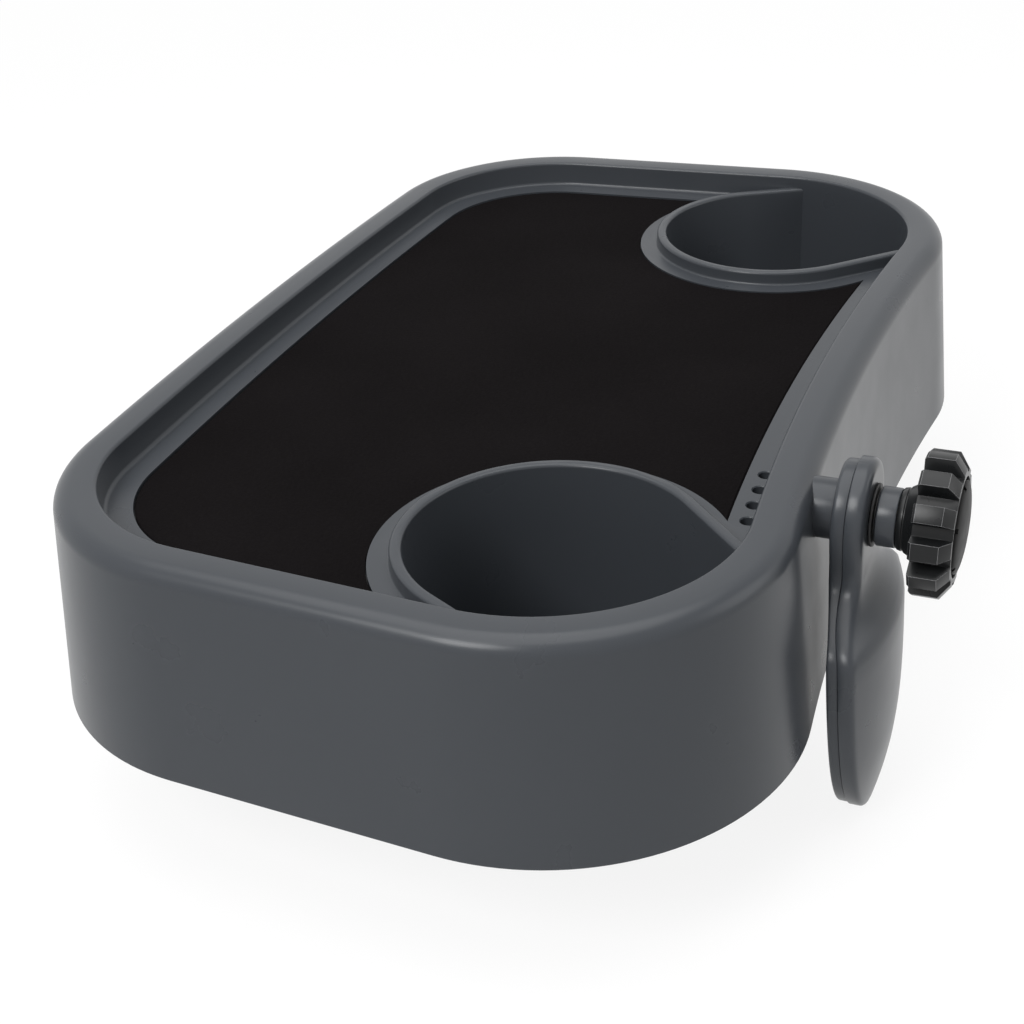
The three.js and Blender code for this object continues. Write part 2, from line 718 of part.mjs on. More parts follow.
function knobBody() {
  const plan = new THREE.ExtrudeGeometry(wheelPlan(), { depth: WHEEL_THICKNESS, bevelEnabled: false });
  const wheel = solid(plan.rotateX(Math.PI / 2).translate(0, -wheelIn, 0));
  const limit = turned([
    [0, wheelIn],
    [WHEEL_R - WHEEL_CHAMFER / 2, wheelIn],
    [WHEEL_R + CUT_MARGIN, wheelIn + WHEEL_CHAMFER],
    [WHEEL_R + CUT_MARGIN, wheelOut - 2 * WHEEL_CHAMFER],
    [WHEEL_R - 2 * WHEEL_CHAMFER, wheelOut],
    [0, wheelOut],
  ], 4 * LOBE_COUNT);
  const neck = turned([
    [0, neckIn],
    [KNOB_NECK_R, neckIn],
    [KNOB_NECK_R, neckIn + KNOB_NECK_LENGTH / 2],
    [KNOB_NECK_R + KNOB_FLARE, wheelIn + CUT_MARGIN],
    [0, wheelIn + CUT_MARGIN],
  ]);
  const insertSeat = insertOut + SEAT_GAP;
  return wheel.intersect(limit).add(neck)
    .subtract(rod(INSERT_R + BORE_CLEARANCE, neckIn - CUT_MARGIN, insertSeat))
    .subtract(rod(studBore, neckIn - CUT_MARGIN, wheelOut + CUT_MARGIN))
    .subtract(rod(CAP_R + BORE_CLEARANCE, capIn - SEAT_GAP, wheelOut + CUT_MARGIN, 48));
}

function knobCap() {
  return turned([
    [0, capIn],
    [CAP_R, capIn],
    [CAP_R, wheelOut + CAP_EDGE],
    [0.86 * CAP_R, wheelOut + 0.55 * CAP_RISE + CAP_EDGE],
    [0.5 * CAP_R, wheelOut + 0.9 * CAP_RISE + CAP_EDGE],
    [0, wheelOut + CAP_RISE + CAP_EDGE],
  ], 48).subtract(rod(studBore, capIn - CUT_MARGIN, wheelOut + CAP_EDGE));
}

// Assembly: the tray is placed so that the origin is on the front wall at the stud axis

const tray = new THREE.Group();
tray.position.set(-CLAMP_X, -clampWallY, CLAMP_DROP);
const mouldings = traySplit();
addMesh(tray, 'tray_rim', mouldings.rim, GREY);
addMesh(tray, 'tray_deck', mouldings.deck, GREY);
addMesh(tray, 'cup_well_left', mouldings.wells[0], GREY);
addMesh(tray, 'cup_well_right', mouldings.wells[1], GREY);
const matTop = -LEDGE_DROP - MAT_SINK;
addMesh(tray, 'floor_mat', matPlan(MAT_CLEARANCE, matTop - MAT_THICKNESS, matTop), MAT_BLACK);

const clamp = new THREE.Group();
clamp.position.set(CLAMP_X, bossEndY, -CLAMP_DROP);
tray.add(clamp);
addMesh(clamp, 'clamp_stud', stud(), STEEL);
addMesh(clamp, 'boss_sleeve', tube(sleeveR, studBore, SEAT_GAP - BOSS_LENGTH, clipIn - SEAT_GAP), STEEL);
addMesh(clamp, 'stud_clip', tube(clipR, studBore, clipIn, -SEAT_GAP), STEEL);
addMesh(clamp, 'backing_plate', backingPlate(), STEEL);
[-1, 1].forEach((side, i) => {
  const placed = screw(headOut, PLATE_SCREW_REACH).translate([(side * PLATE_SCREW_SPAN) / 2, 0, 0]);
  addMesh(clamp, `plate_screw_${i + 1}`, placed, STEEL);
});

const innerSeam = (drop, share) => seamFace(drop, share) - SEAT_GAP / 2;
const outerSeam = (drop, share) => seamFace(drop, share) + SEAT_GAP / 2;
const innerHalf = drilled(paddleHalf(innerFace, innerSeam, 0, 0));
const outerHalf = drilled(paddleHalf(outerSeam, outerFace, 0, -BLADE_EDGE_ROUND));
addMesh(clamp, 'paddle_inner_half', innerHalf, GREY);
addMesh(clamp, 'paddle_outer_half', outerHalf, GREY);
const bushIn = SEAT_GAP + BUSH_SHY;
const bushOut = hubOut - BUSH_SHY;
addMesh(clamp, 'paddle_bush', tube(BUSH_R, studBore, bushIn, bushOut), STEEL);
PADDLE_SCREW_ALONG.forEach((_, i) => {
  const placed = paddleScrewAt(i, screw(screwSeat(i), PADDLE_SCREW_REACH));
  addMesh(clamp, `paddle_screw_${i + 1}`, placed, STEEL);
});

addMesh(clamp, 'rubber_washer', tube(RUBBER_WASHER_R, studBore, rubberIn, rubberOut), RUBBER);
addMesh(clamp, 'slip_washer', tube(SLIP_WASHER_R, studBore, slipIn, slipOut), BLACK);
addMesh(clamp, 'knob_collar', turned([
  [studBore, collarIn],
  [COLLAR_R, collarIn],
  [COLLAR_R, collarOut],
  [INSERT_R + BORE_CLEARANCE, collarOut],
  [INSERT_R + BORE_CLEARANCE, insertIn - SEAT_GAP],
  [studBore, insertIn - SEAT_GAP],
]), GREY);
addMesh(clamp, 'knob_insert', tube(INSERT_R, studBore, insertIn, insertOut), BRASS);
addMesh(clamp, 'knob_body', knobBody(), BLACK);
addMesh(clamp, 'knob_cap', knobCap(), BLACK);

const object = new THREE.Group();
object.add(tray);
export default object;
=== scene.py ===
# %% [markdown]
# This is a tray that hangs on the wall of a hot tub: one grey moulding with two cup wells and a loose
# black mat, and a screw clamp with a paddle and a knob. Its solids are packed already. They are loaded
# first, as a fixed frame in metres, and the pieces that are modelled here take the place of most of them.

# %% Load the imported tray
import json
import math

import bmesh
import bpy
from mathutils import Matrix, Vector


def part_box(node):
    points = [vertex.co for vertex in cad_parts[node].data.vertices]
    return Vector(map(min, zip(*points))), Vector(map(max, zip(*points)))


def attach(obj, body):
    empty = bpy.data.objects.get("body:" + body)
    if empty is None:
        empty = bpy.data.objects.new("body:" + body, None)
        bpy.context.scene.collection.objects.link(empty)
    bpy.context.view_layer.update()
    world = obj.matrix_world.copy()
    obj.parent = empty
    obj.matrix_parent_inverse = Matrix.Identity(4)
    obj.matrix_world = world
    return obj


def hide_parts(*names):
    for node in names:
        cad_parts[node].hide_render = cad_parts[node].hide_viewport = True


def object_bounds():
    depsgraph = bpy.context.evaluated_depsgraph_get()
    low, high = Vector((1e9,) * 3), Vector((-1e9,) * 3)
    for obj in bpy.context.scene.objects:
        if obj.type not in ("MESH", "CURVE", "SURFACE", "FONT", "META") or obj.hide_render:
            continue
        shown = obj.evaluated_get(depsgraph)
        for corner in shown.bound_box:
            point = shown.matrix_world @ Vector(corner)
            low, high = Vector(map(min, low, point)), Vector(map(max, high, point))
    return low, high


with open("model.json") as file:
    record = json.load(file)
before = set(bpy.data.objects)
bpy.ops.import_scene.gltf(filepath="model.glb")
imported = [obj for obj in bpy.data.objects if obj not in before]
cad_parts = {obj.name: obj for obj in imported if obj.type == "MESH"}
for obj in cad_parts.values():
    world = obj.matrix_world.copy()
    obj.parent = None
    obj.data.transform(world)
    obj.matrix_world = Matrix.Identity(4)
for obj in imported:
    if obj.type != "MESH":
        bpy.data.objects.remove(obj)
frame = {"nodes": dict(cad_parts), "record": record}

MM = 0.001
cad_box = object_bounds()

# %% [markdown]
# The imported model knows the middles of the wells, the level of the rim and the axis of the stud. Taking
# these places from the frame, not from typed numbers, keeps the looks and the solids together.

# %% Places taken from the frame
mounts = {mount["name"]: mount for mount in frame["record"]["mounts"]}
right_well = Vector(mounts["cup_floor_right"]["pos_m"])
left_well = Vector(mounts["cup_floor_left"]["pos_m"])
tray_middle = (right_well + left_well) / 2
skirt_level, rim_level = (corner[2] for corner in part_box("tray_rim"))
print("distance of the wells:", round((right_well - left_well).length / MM, 2), "mm")


def tray_point(x, y, z):
    """Turn millimetres from the middle of the wells and the rim into a point of the frame."""
    return Vector((tray_middle.x + x * MM, tray_middle.y + y * MM, rim_level + z * MM))


# %% [markdown]
# Seen from above, the tray is a chain of arcs: a hollow front that follows the curve of a tub, two large
# corners around the wells, two smaller corners behind, and a slightly bowed back. Arcs keep their centres
# when the line moves outward, so one function gives the outer wall, the rim and the ledge.

# %% Outline of the tray, in millimetres
TRAY_LENGTH = 397.8
TRAY_WIDTH = 241
BACK_LENGTH = 387
FRONT_CORNER_R = 78
BACK_CORNER_R = 71
FRONT_HOLLOW_R = 1140
BACK_BOW_R = 2450
CUP_FORWARD = 7
CORNER_STEPS = 36
FRONT_STEPS = 48
BACK_STEPS = 32
END_STEPS = 10

front_x = TRAY_LENGTH / 2 - FRONT_CORNER_R
front_y = CUP_FORWARD
back_x = BACK_LENGTH / 2 - BACK_CORNER_R
back_y = front_y - FRONT_CORNER_R + TRAY_WIDTH - BACK_CORNER_R
hollow_y = front_y - math.sqrt((FRONT_HOLLOW_R + FRONT_CORNER_R) ** 2 - front_x ** 2)
bow_y = back_y - math.sqrt((BACK_BOW_R - BACK_CORNER_R) ** 2 - back_x ** 2)


def arc(x, y, radius, start, end, steps):
    turns = [start + (end - start) * i / steps for i in range(steps)]
    return [(x + radius * math.cos(turn), y + radius * math.sin(turn)) for turn in turns]


def straight(start, end, steps):
    (x0, y0), (x1, y1) = start, end
    return [(x0 + (x1 - x0) * i / steps, y0 + (y1 - y0) * i / steps) for i in range(steps)]


def outline(offset):
    """Plan of the tray, moved outward from the outer wall at the rim."""
    reach = Vector((front_x - back_x, front_y - back_y))
    lean = math.acos((BACK_CORNER_R - FRONT_CORNER_R) / reach.length)
    end = math.atan2(reach.y, reach.x) + lean
    hollow = math.atan2(front_y - hollow_y, front_x)
    front = math.atan2(hollow_y - front_y, -front_x)
    back = math.atan2(back_y - bow_y, back_x)
    front_r = FRONT_CORNER_R + offset
    back_r = BACK_CORNER_R + offset
    low = (front_x + front_r * math.cos(end), front_y + front_r * math.sin(end))
    high = (back_x + back_r * math.cos(end), back_y + back_r * math.sin(end))
    half = arc(front_x, front_y, front_r, front, end, CORNER_STEPS)
    half += straight(low, high, END_STEPS)
    half += arc(back_x, back_y, back_r, end, back, CORNER_STEPS)
    bow = arc(0, bow_y, BACK_BOW_R + offset, back, math.pi - back, BACK_STEPS)
    other = [(-x, y) for x, y in reversed(half)]
    other = [(-bow[0][0], bow[0][1])] + other[:-1]
    front_edge = arc(0, hollow_y, FRONT_HOLLOW_R - offset, math.pi - hollow, hollow, FRONT_STEPS)
    return half + bow + other + front_edge


def level(offset, z):
    return [tray_point(x, y, z) for x, y in outline(offset)]


def front_wall_y(x, offset):
    return hollow_y + math.sqrt((FRONT_HOLLOW_R - offset) ** 2 - x ** 2)


print("points in the outline:", len(outline(0)))

# %% [markdown]
# Most of the shapes are walls that follow such a line. By hand one would add a circle, drag its points to
# the line, and extrude the loop again and again, placing each new loop. This helper does the same: every
# point carries its number along the line, and an extruded point keeps it.

# %% Helper: extrude a loop through a list of lines
SAME_POINT = 1e-7


def deselect():
    bpy.ops.object.select_all(action="DESELECT")


def make_active(piece):
    deselect()
    piece.select_set(True)
    bpy.context.view_layer.objects.active = piece


def number_points(mesh):
    spots = mesh.attributes.new("spot", "INT", "POINT")
    spots.data.foreach_set("value", range(len(mesh.vertices)))


def place_selected(mesh, places):
    """Put each selected point at the place with its number."""
    cage = bmesh.from_edit_mesh(mesh)
    spot = cage.verts.layers.int["spot"]
    for vertex in cage.verts:
        if vertex.select:
            vertex.co = places[vertex[spot]]
    bmesh.update_edit_mesh(mesh)


def close_up(piece):
    """Merge doubles, turn the faces outward and leave edit mode."""
    bpy.ops.mesh.select_all(action="SELECT")
    bpy.ops.mesh.remove_doubles(threshold=SAME_POINT)
    bpy.ops.mesh.normals_make_consistent(inside=False)
    bpy.ops.object.mode_set(mode="OBJECT")
    piece.data.attributes.remove(piece.data.attributes["spot"])


def extrude_loops(name, loops, ring=False):
    """Add a circle and extrude it through the loops, closed by caps or, as a ring, back to its start."""
    deselect()
    bpy.ops.mesh.primitive_circle_add(vertices=len(loops[0]))
    piece = bpy.context.object
    piece.name = piece.data.name = name
    number_points(piece.data)
    bpy.ops.object.mode_set(mode="EDIT")
    bpy.ops.mesh.select_all(action="SELECT")
    place_selected(piece.data, loops[0])
    if not ring:
        bpy.ops.mesh.edge_face_add()
    bpy.ops.mesh.select_mode(type="EDGE")
    for loop in loops[1:] + (loops[:1] if ring else []):
        bpy.ops.mesh.extrude_edges_move()
        place_selected(piece.data, loop)
    if not ring:
        bpy.ops.mesh.edge_face_add()
    close_up(piece)
    return piece


# %% [markdown]
# Closed pieces can be joined, cut and trimmed with one another, as a mould maker works with cores and
# pins. A boolean modifier does it and is applied at once, so each step leaves a plain mesh. Pieces run a
# little past the faces they meet at, because it works best where no two faces share a plane. Shading by
# angle comes last: flat faces stay flat and rounded ones look smooth.

# %% Helpers: boolean and shading
PAST = 1


def apply_modifier(piece, change):
    make_active(piece)
    bpy.ops.object.modifier_apply(modifier=change.name)


def combine(piece, other, operation):
    """Join, cut or intersect a piece with another one, which is used up."""
    change = piece.modifiers.new(operation, "BOOLEAN")
    change.operation = operation
    change.object = other
    change.solver = "MANIFOLD"
    apply_modifier(piece, change)
    bpy.data.objects.remove(other)


def smooth(piece, degrees=32):
    make_active(piece)
    bpy.ops.object.shade_smooth_by_angle(angle=math.radians(degrees))
    print(piece.name, "faces:", len(piece.data.polygons))


def bar(name, low, high):
    """A block between its lowest and its highest corner."""
    deselect()
    bpy.ops.mesh.primitive_cube_add(size=1, location=(low + high) / 2, scale=high - low)
    bpy.ops.object.transform_apply(location=True, rotation=True, scale=True)
    block = bpy.context.object
    block.name = block.data.name = name
    return block


def quarter(steps):
    """Sine and cosine along a quarter turn."""
    turns = [math.pi / 2 * i / steps for i in range(steps + 1)]
    return [(math.sin(turn), math.cos(turn)) for turn in turns]


# %% [markdown]
# The body of the moulding starts under the floor, goes up inside the hollow rim, down the inside of the
# skirt, round its lower edge, up the drafted outer wall, over the rim and down to the ledge. The rim has
# a generous outer round that catches a long highlight, and a tight inner edge.

# %% Body of the moulding
RIM_WIDTH = 14
RIM_ROUND = 6
RIM_EDGE = 1.2
SKIRT_HEIGHT = (rim_level - skirt_level) / MM
SKIRT_DRAFT = 0.086
SKIRT_LIP = 0.6
WALL = 3
HOLLOW_EDGE = 2
POCKET_DRAFT = 0.05
LEDGE_DROP = 10.3
LEDGE_FOOT = 1.4
MAT_THICKNESS = 2
MAT_SINK = 0.4
SEAT_GAP = 0.2
FLOOR_THICKNESS = 3
ROUND_STEPS = 10
EDGE_STEPS = 5

pocket_wall = -RIM_WIDTH
ledge_edge = -RIM_WIDTH - POCKET_DRAFT * LEDGE_DROP
recess_bottom = LEDGE_DROP + MAT_SINK + MAT_THICKNESS + SEAT_GAP
floor_bottom = recess_bottom + FLOOR_THICKNESS
skirt_foot = SKIRT_DRAFT * SKIRT_HEIGHT

body_section = [
    (ledge_edge + WALL, -floor_bottom),
    (pocket_wall + WALL, -WALL - HOLLOW_EDGE),
    (pocket_wall + WALL + HOLLOW_EDGE, -WALL),
    (-RIM_ROUND, -WALL),
    (SKIRT_DRAFT * RIM_ROUND - WALL, -RIM_ROUND),
    (skirt_foot - WALL, -SKIRT_HEIGHT + SKIRT_LIP),
    (skirt_foot - WALL + SKIRT_LIP, -SKIRT_HEIGHT),
    (skirt_foot - SKIRT_LIP, -SKIRT_HEIGHT),
    (skirt_foot - SKIRT_DRAFT * SKIRT_LIP, -SKIRT_HEIGHT + SKIRT_LIP),
]
for sine, cosine in quarter(ROUND_STEPS):
    drafted = SKIRT_DRAFT * RIM_ROUND * cosine
    body_section.append((drafted - RIM_ROUND * (1 - cosine), -RIM_ROUND * (1 - sine)))
for sine, cosine in quarter(EDGE_STEPS):
    body_section.append((pocket_wall + RIM_EDGE * (1 - sine), -RIM_EDGE * (1 - cosine)))
for sine, cosine in quarter(EDGE_STEPS):
    foot = -LEDGE_DROP + LEDGE_FOOT * (1 - sine)
    wall = pocket_wall + POCKET_DRAFT * foot
    body_section.append((wall - LEDGE_FOOT * (1 - cosine), foot))

tray_body = extrude_loops("tray_body", [level(offset, z) for offset, z in body_section])
print("loops in the section:", len(body_section))

# %% [markdown]
# Each cup well is round on the inside, and its raised ring leaves the circle in two straight tails that run
# into the wall of the tray. The ring is added first, with its rounded top, then the well is cut out of
# both. What the rim leaves free limits them on the outer side, so the tails end in a crisp crease.

# %% Plan of a cup well
CUP_R = 45
CUP_DEPTH = 66
CUP_DRAFT = 0.02
CUP_OUT = 12
CUP_AIM = math.radians(-53.5)
CUP_FLARE = math.radians(81.5)
ARC_STEPS = 72
TAIL = 2 * FRONT_CORNER_R

cup_x = front_x + CUP_OUT


def well_level(side, grow, z):
    radius = CUP_R + grow
    start = CUP_AIM + CUP_FLARE
    end = CUP_AIM + 2 * math.pi - CUP_FLARE
    plan = arc(cup_x, 0, radius, start, end, ARC_STEPS)
    first = plan[0]
    last = (cup_x + radius * math.cos(end), radius * math.sin(end))
    plan.append(last)
    plan.append((last[0] - TAIL * math.sin(end), last[1] + TAIL * math.cos(end)))
    plan.append((first[0] + TAIL * math.sin(start), first[1] - TAIL * math.cos(start)))
    return [tray_point(side * x, y, z) for x, y in plan]


def rim_space(grow):
    """The space inside the rim, carried down past the floors of the wells."""
    bottom = CUP_DEPTH + WALL + PAST
    return extrude_loops("rim_space", [
        level(ledge_edge - CUP_DRAFT * (bottom - LEDGE_DROP) + grow, -bottom),
        level(ledge_edge + grow, -LEDGE_DROP),
        level(pocket_wall - POCKET_DRAFT * RIM_EDGE + grow, -RIM_EDGE),
    ])


print("points in the plan of a well:", len(well_level(1, 0, 0)))

# %% [markdown]
# Three shapes follow that plan: an outer wall that hangs below the floor, the ring that stands on the
# ledge, and the hollow with its rounded floor. Walls and rings are joined to the body first and the
# hollows are cut last, so that nothing closes them again.

# %% Walls, rings and hollows of the wells
RING_WALL = 4
RING_DROP = 5
RING_EDGE = 1.2
RING_FOOT = 0.9
RING_EDGE_STEPS = 4
RING_FOOT_STEPS = 3
CUP_FLOOR_ROUND = 4
CUP_FLOOR_STEPS = 6
BLOCK_EDGE = 1
WALL_SKIN = 0.02


def well_block(side):
    bottom = CUP_DEPTH + WALL
    block = extrude_loops("well_block", [
        well_level(side, WALL - CUP_DRAFT * CUP_DEPTH - BLOCK_EDGE, -bottom),
        well_level(side, WALL - CUP_DRAFT * CUP_DEPTH, BLOCK_EDGE - bottom),
        well_level(side, WALL, -LEDGE_DROP - PAST),
    ])
    combine(block, rim_space(WALL), "INTERSECT")
    return block


def well_ring(side):
    top = -RING_DROP
    foot = -LEDGE_DROP
    loops = [well_level(side, RING_WALL + RING_FOOT, foot - PAST)]
    for sine, cosine in quarter(RING_FOOT_STEPS):
        grow = RING_WALL + RING_FOOT * (1 - sine)
        loops.append(well_level(side, grow, foot + RING_FOOT * (1 - cosine)))
    for sine, cosine in quarter(RING_EDGE_STEPS):
        grow = RING_WALL - RING_EDGE * (1 - cosine)
        loops.append(well_level(side, grow, top - RING_EDGE * (1 - sine)))
    ring = extrude_loops("well_ring", loops)
    combine(ring, rim_space(PAST), "INTERSECT")
    return ring


def well_cut(side):
    inset = CUP_DRAFT * CUP_DEPTH
    loops = []
    for sine, cosine in quarter(CUP_FLOOR_STEPS):
        grow = -inset - CUP_FLOOR_ROUND * (1 - sine)
        loops.append(well_level(side, grow, -CUP_DEPTH + CUP_FLOOR_ROUND * (1 - cosine)))
    for sine, cosine in quarter(RING_EDGE_STEPS):
        loops.append(well_level(side, RING_EDGE * (1 - cosine), -RING_DROP - RING_EDGE * (1 - sine)))
    loops.append(well_level(side, RING_EDGE, PAST - RING_DROP))
    cut = extrude_loops("well_cut", loops)
    combine(cut, rim_space(WALL_SKIN), "INTERSECT")
    return cut


for side in (-1, 1):
    combine(tray_body, well_block(side), "UNION")
    combine(tray_body, well_ring(side), "UNION")
for side in (-1, 1):
    combine(tray_body, well_cut(side), "DIFFERENCE")
print("faces with wells:", len(tray_body.data.polygons))

# %% [markdown]
# The black mat lies in a shallow recess of the floor, so that its top ends just under the ledge. One plan,
# cut back around the two rings, gives the recess and, a little smaller, the mat itself.

# %% Recess for the mat
LEDGE_WIDTH = 9.4
RING_LEDGE = 7
MAT_SIDES = 192
CUTTER_DEPTH = 4 * MAT_THICKNESS


def mat_shape(name, clearance, low, high, edge_round=0):
    edge = ledge_edge - LEDGE_WIDTH - clearance
    around = (CUP_R + RING_WALL + RING_LEDGE + clearance) * MM
    loops = [level(edge, low), level(edge, high - edge_round)]
    if edge_round:
        loops.append(level(edge - edge_round, high))
    shape = extrude_loops(name, loops)
    for side in (-1, 1):
        deselect()
        bpy.ops.mesh.primitive_cylinder_add(
            vertices=MAT_SIDES, radius=around, depth=CUTTER_DEPTH * MM,
            location=tray_point(side * cup_x, 0, (low + high) / 2),
        )
        combine(shape, bpy.context.object, "DIFFERENCE")
    return shape


combine(tray_body, mat_shape("mat_recess", 0, -recess_bottom, PAST - LEDGE_DROP), "DIFFERENCE")
print("faces with recess:", len(tray_body.data.polygons))

# %% [markdown]
# Below the floor, a few thin ribs keep the large flat plate from sagging. They are plain bars, trimmed to
# the inside of the rim and kept out of the wells.

# %% Ribs below the floor
RIB_THICKNESS = 2.4
RIB_DEPTH = 9
RIB_SPACING = 52


def rib(low, high):
    trimmed = bar("rib", tray_point(*low), tray_point(*high))
    edge = ledge_edge - WALL
    limit = extrude_loops("rib_limit", [level(edge, low[2] - PAST), level(edge, high[2] + PAST)])
    combine(trimmed, limit, "INTERSECT")
    for side in (-1, 1):
        well = extrude_loops("rib_well", [
            well_level(side, 0, low[2] - PAST),
            well_level(side, 0, high[2] + PAST),
        ])
        combine(trimmed, well, "DIFFERENCE")
    return trimmed


rib_low = -floor_bottom - RIB_DEPTH
rib_high = PAST - floor_bottom
half_rib = RIB_THICKNESS / 2
for step in (-1, 0, 1):
    x = step * RIB_SPACING
    low = (x - half_rib, -TRAY_LENGTH, rib_low)
    high = (x + half_rib, TRAY_LENGTH, rib_high)
    combine(tray_body, rib(low, high), "UNION")
for y in (back_y, back_y - RIB_SPACING):
    low = (-TRAY_LENGTH, y - half_rib, rib_low)
    high = (TRAY_LENGTH, y + half_rib, rib_high)
    combine(tray_body, rib(low, high), "UNION")
print("faces with ribs:", len(tray_body.data.polygons))

# %% [markdown]
# Everything of the clamp sits on one axis, so its pieces are turned shapes: a profile of radius and
# distance outward from the end of the boss. A lathe would cut them; here a circle is extruded along the
# axis.

# %% Helper: turned pieces on the stud axis
hub_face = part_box("paddle_inner_half")[1][1]
boss_end = hub_face + SEAT_GAP * MM


def clamp_point(x, out, drop):
    """A point in millimetres across, outward from the end of the boss, and below the stud axis."""
    return Vector((x * MM, boss_end - out * MM, -drop * MM))


def circle(radius, out, sides):
    turns = [2 * math.pi * i / sides for i in range(sides)]
    return [clamp_point(radius * math.cos(turn), out, radius * math.sin(turn)) for turn in turns]


def turned(name, profile, sides=64, ring=False):
    return extrude_loops(name, [circle(radius, out, sides) for radius, out in profile], ring)


def drill(piece, radius, start, end, x=0, drop=0, sides=32):
    hole = turned("hole", [(radius, start), (radius, end)], sides)
    hole.data.transform(Matrix.Translation((x * MM, 0, -drop * MM)))
    combine(piece, hole, "DIFFERENCE")


print("end of the boss:", round(boss_end / MM, 2), "mm")

# %% [markdown]
# The stud leaves the front wall through a plain round boss. Behind the wall, a flat pad carries the steel
# backing plate, and a square hole keeps the stud from turning.

# %% Boss, pad and stud hole
BOSS_R = 9.6
BOSS_LENGTH = 7
BOSS_EDGE = 0.6
BOSS_EDGE_STEPS = 4
BOSS_SIDES = 96
PAD_DEPTH = 2.2
PAD_MARGIN = 1
PLATE_LENGTH = 36
PLATE_HEIGHT = 13
PLATE_THICKNESS = 1.6
PLATE_SCREW_SPAN = 26
STUD_R = 4
STUD_NECK = 8
BORE_CLEARANCE = 0.3
BORE_SIDES = 64
SLEEVE_WALL = 1.3
CLIP_WIDTH = 2.4
CLIP_THICKNESS = 1
SCREW_R = 1.4
SCREW_REACH = 4.6

wall_in = -(BOSS_LENGTH + WALL)
pad_in = wall_in - PAD_DEPTH
stud_bore = STUD_R + BORE_CLEARANCE
sleeve_hole = stud_bore + SLEEVE_WALL + BORE_CLEARANCE
clip_hole = stud_bore + CLIP_WIDTH + BORE_CLEARANCE
clip_seat = -(3 * SEAT_GAP + CLIP_THICKNESS)

boss_profile = [(BOSS_R, wall_in + PAST)]
for sine, cosine in quarter(BOSS_EDGE_STEPS):
    boss_profile.append((BOSS_R - BOSS_EDGE * (1 - cosine), BOSS_EDGE * (sine - 1)))
combine(tray_body, turned("boss", boss_profile, BOSS_SIDES), "UNION")

pad_x = PLATE_LENGTH / 2 + PAD_MARGIN
pad_z = PLATE_HEIGHT / 2 + PAD_MARGIN
pad = bar("pad", clamp_point(-pad_x, wall_in + PAST, pad_z), clamp_point(pad_x, pad_in, -pad_z))
combine(tray_body, pad, "UNION")

drill(tray_body, sleeve_hole, -BOSS_LENGTH, PAST, sides=BORE_SIDES)
drill(tray_body, clip_hole, clip_seat, PAST, sides=BORE_SIDES)
neck = STUD_NECK / 2 + BORE_CLEARANCE
low = clamp_point(-neck, PAST - BOSS_LENGTH, neck)
high = clamp_point(neck, pad_in - PAST, -neck)
combine(tray_body, bar("square", low, high), "DIFFERENCE")
for side in (-1, 1):
    x = side * PLATE_SCREW_SPAN / 2
    drill(tray_body, SCREW_R + BORE_CLEARANCE, pad_in - PAST, pad_in + SCREW_REACH, x)
print("faces with boss:", len(tray_body.data.polygons))

# %% [markdown]
# Four small holes in the front ledge let splashed water run off the mat. Each is a straight hole with a
# slightly broken upper edge, as a moulding pin leaves it.

# %% Drain holes
DRAIN_COUNT = 4
DRAIN_R = 2.5
DRAIN_PITCH = 10
DRAIN_X = -83
DRAIN_INSET = 3.2
DRAIN_EDGE = 0.35
DRAIN_SIDES = 40


def drain(x, y):
    loops = []
    for radius, z in (
        (DRAIN_R, -floor_bottom - PAST),
        (DRAIN_R, -LEDGE_DROP - DRAIN_EDGE),
        (DRAIN_R + DRAIN_EDGE, -LEDGE_DROP),
        (DRAIN_R + DRAIN_EDGE, PAST - LEDGE_DROP),
    ):
        spots = arc(x, y, radius, 0, 2 * math.pi, DRAIN_SIDES)
        loops.append([tray_point(across, along, z) for across, along in spots])
    return extrude_loops("drain", loops)


for i in range(DRAIN_COUNT):
    x = DRAIN_X + (i - (DRAIN_COUNT - 1) / 2) * DRAIN_PITCH
    combine(tray_body, drain(x, front_wall_y(x, ledge_edge) + DRAIN_INSET), "DIFFERENCE")

smooth(tray_body)
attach(tray_body, "tray")
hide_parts("tray_rim", "tray_deck", "cup_well_left", "cup_well_right")

# %% [markdown]
# The mat is a thin sheet of soft black rubber with a cut edge that is a little rounded.

# %% Mat
MAT_CLEARANCE = 0.4
MAT_EDGE = 0.5

mat_top = -LEDGE_DROP - MAT_SINK
mat = mat_shape("mat", MAT_CLEARANCE, mat_top - MAT_THICKNESS, mat_top, MAT_EDGE)
smooth(mat)
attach(mat, "tray")
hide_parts("floor_mat")

# %% [markdown]
# The stud is a coach bolt: a low domed head, a square neck and a thread. A thread is a groove that climbs
# as it goes round, so each point of a loop is sunk by how far it is from the crest at its own angle.

# %% Stud
STUD_REACH = 36
STUD_HEAD_R = 8.5
STUD_HEAD_HEIGHT = 3.4
STUD_HEAD_EDGE = 0.8
STUD_HEAD_BREAK = 0.3
STUD_HEAD_FLAT = 0.08
STUD_HEAD_STEPS = 6
THREAD_PITCH = 2
THREAD_DEPTH = 0.7
THREAD_FLANK = 1.6
THREAD_RUNOUT = 0.6
THREAD_STEPS = 8
THREAD_SIDES = 40
THREAD_START = -2

plate_in = pad_in - SEAT_GAP - PLATE_THICKNESS
head_out = plate_in - SEAT_GAP


def blend(first, second, share):
    return first + (second - first) * share


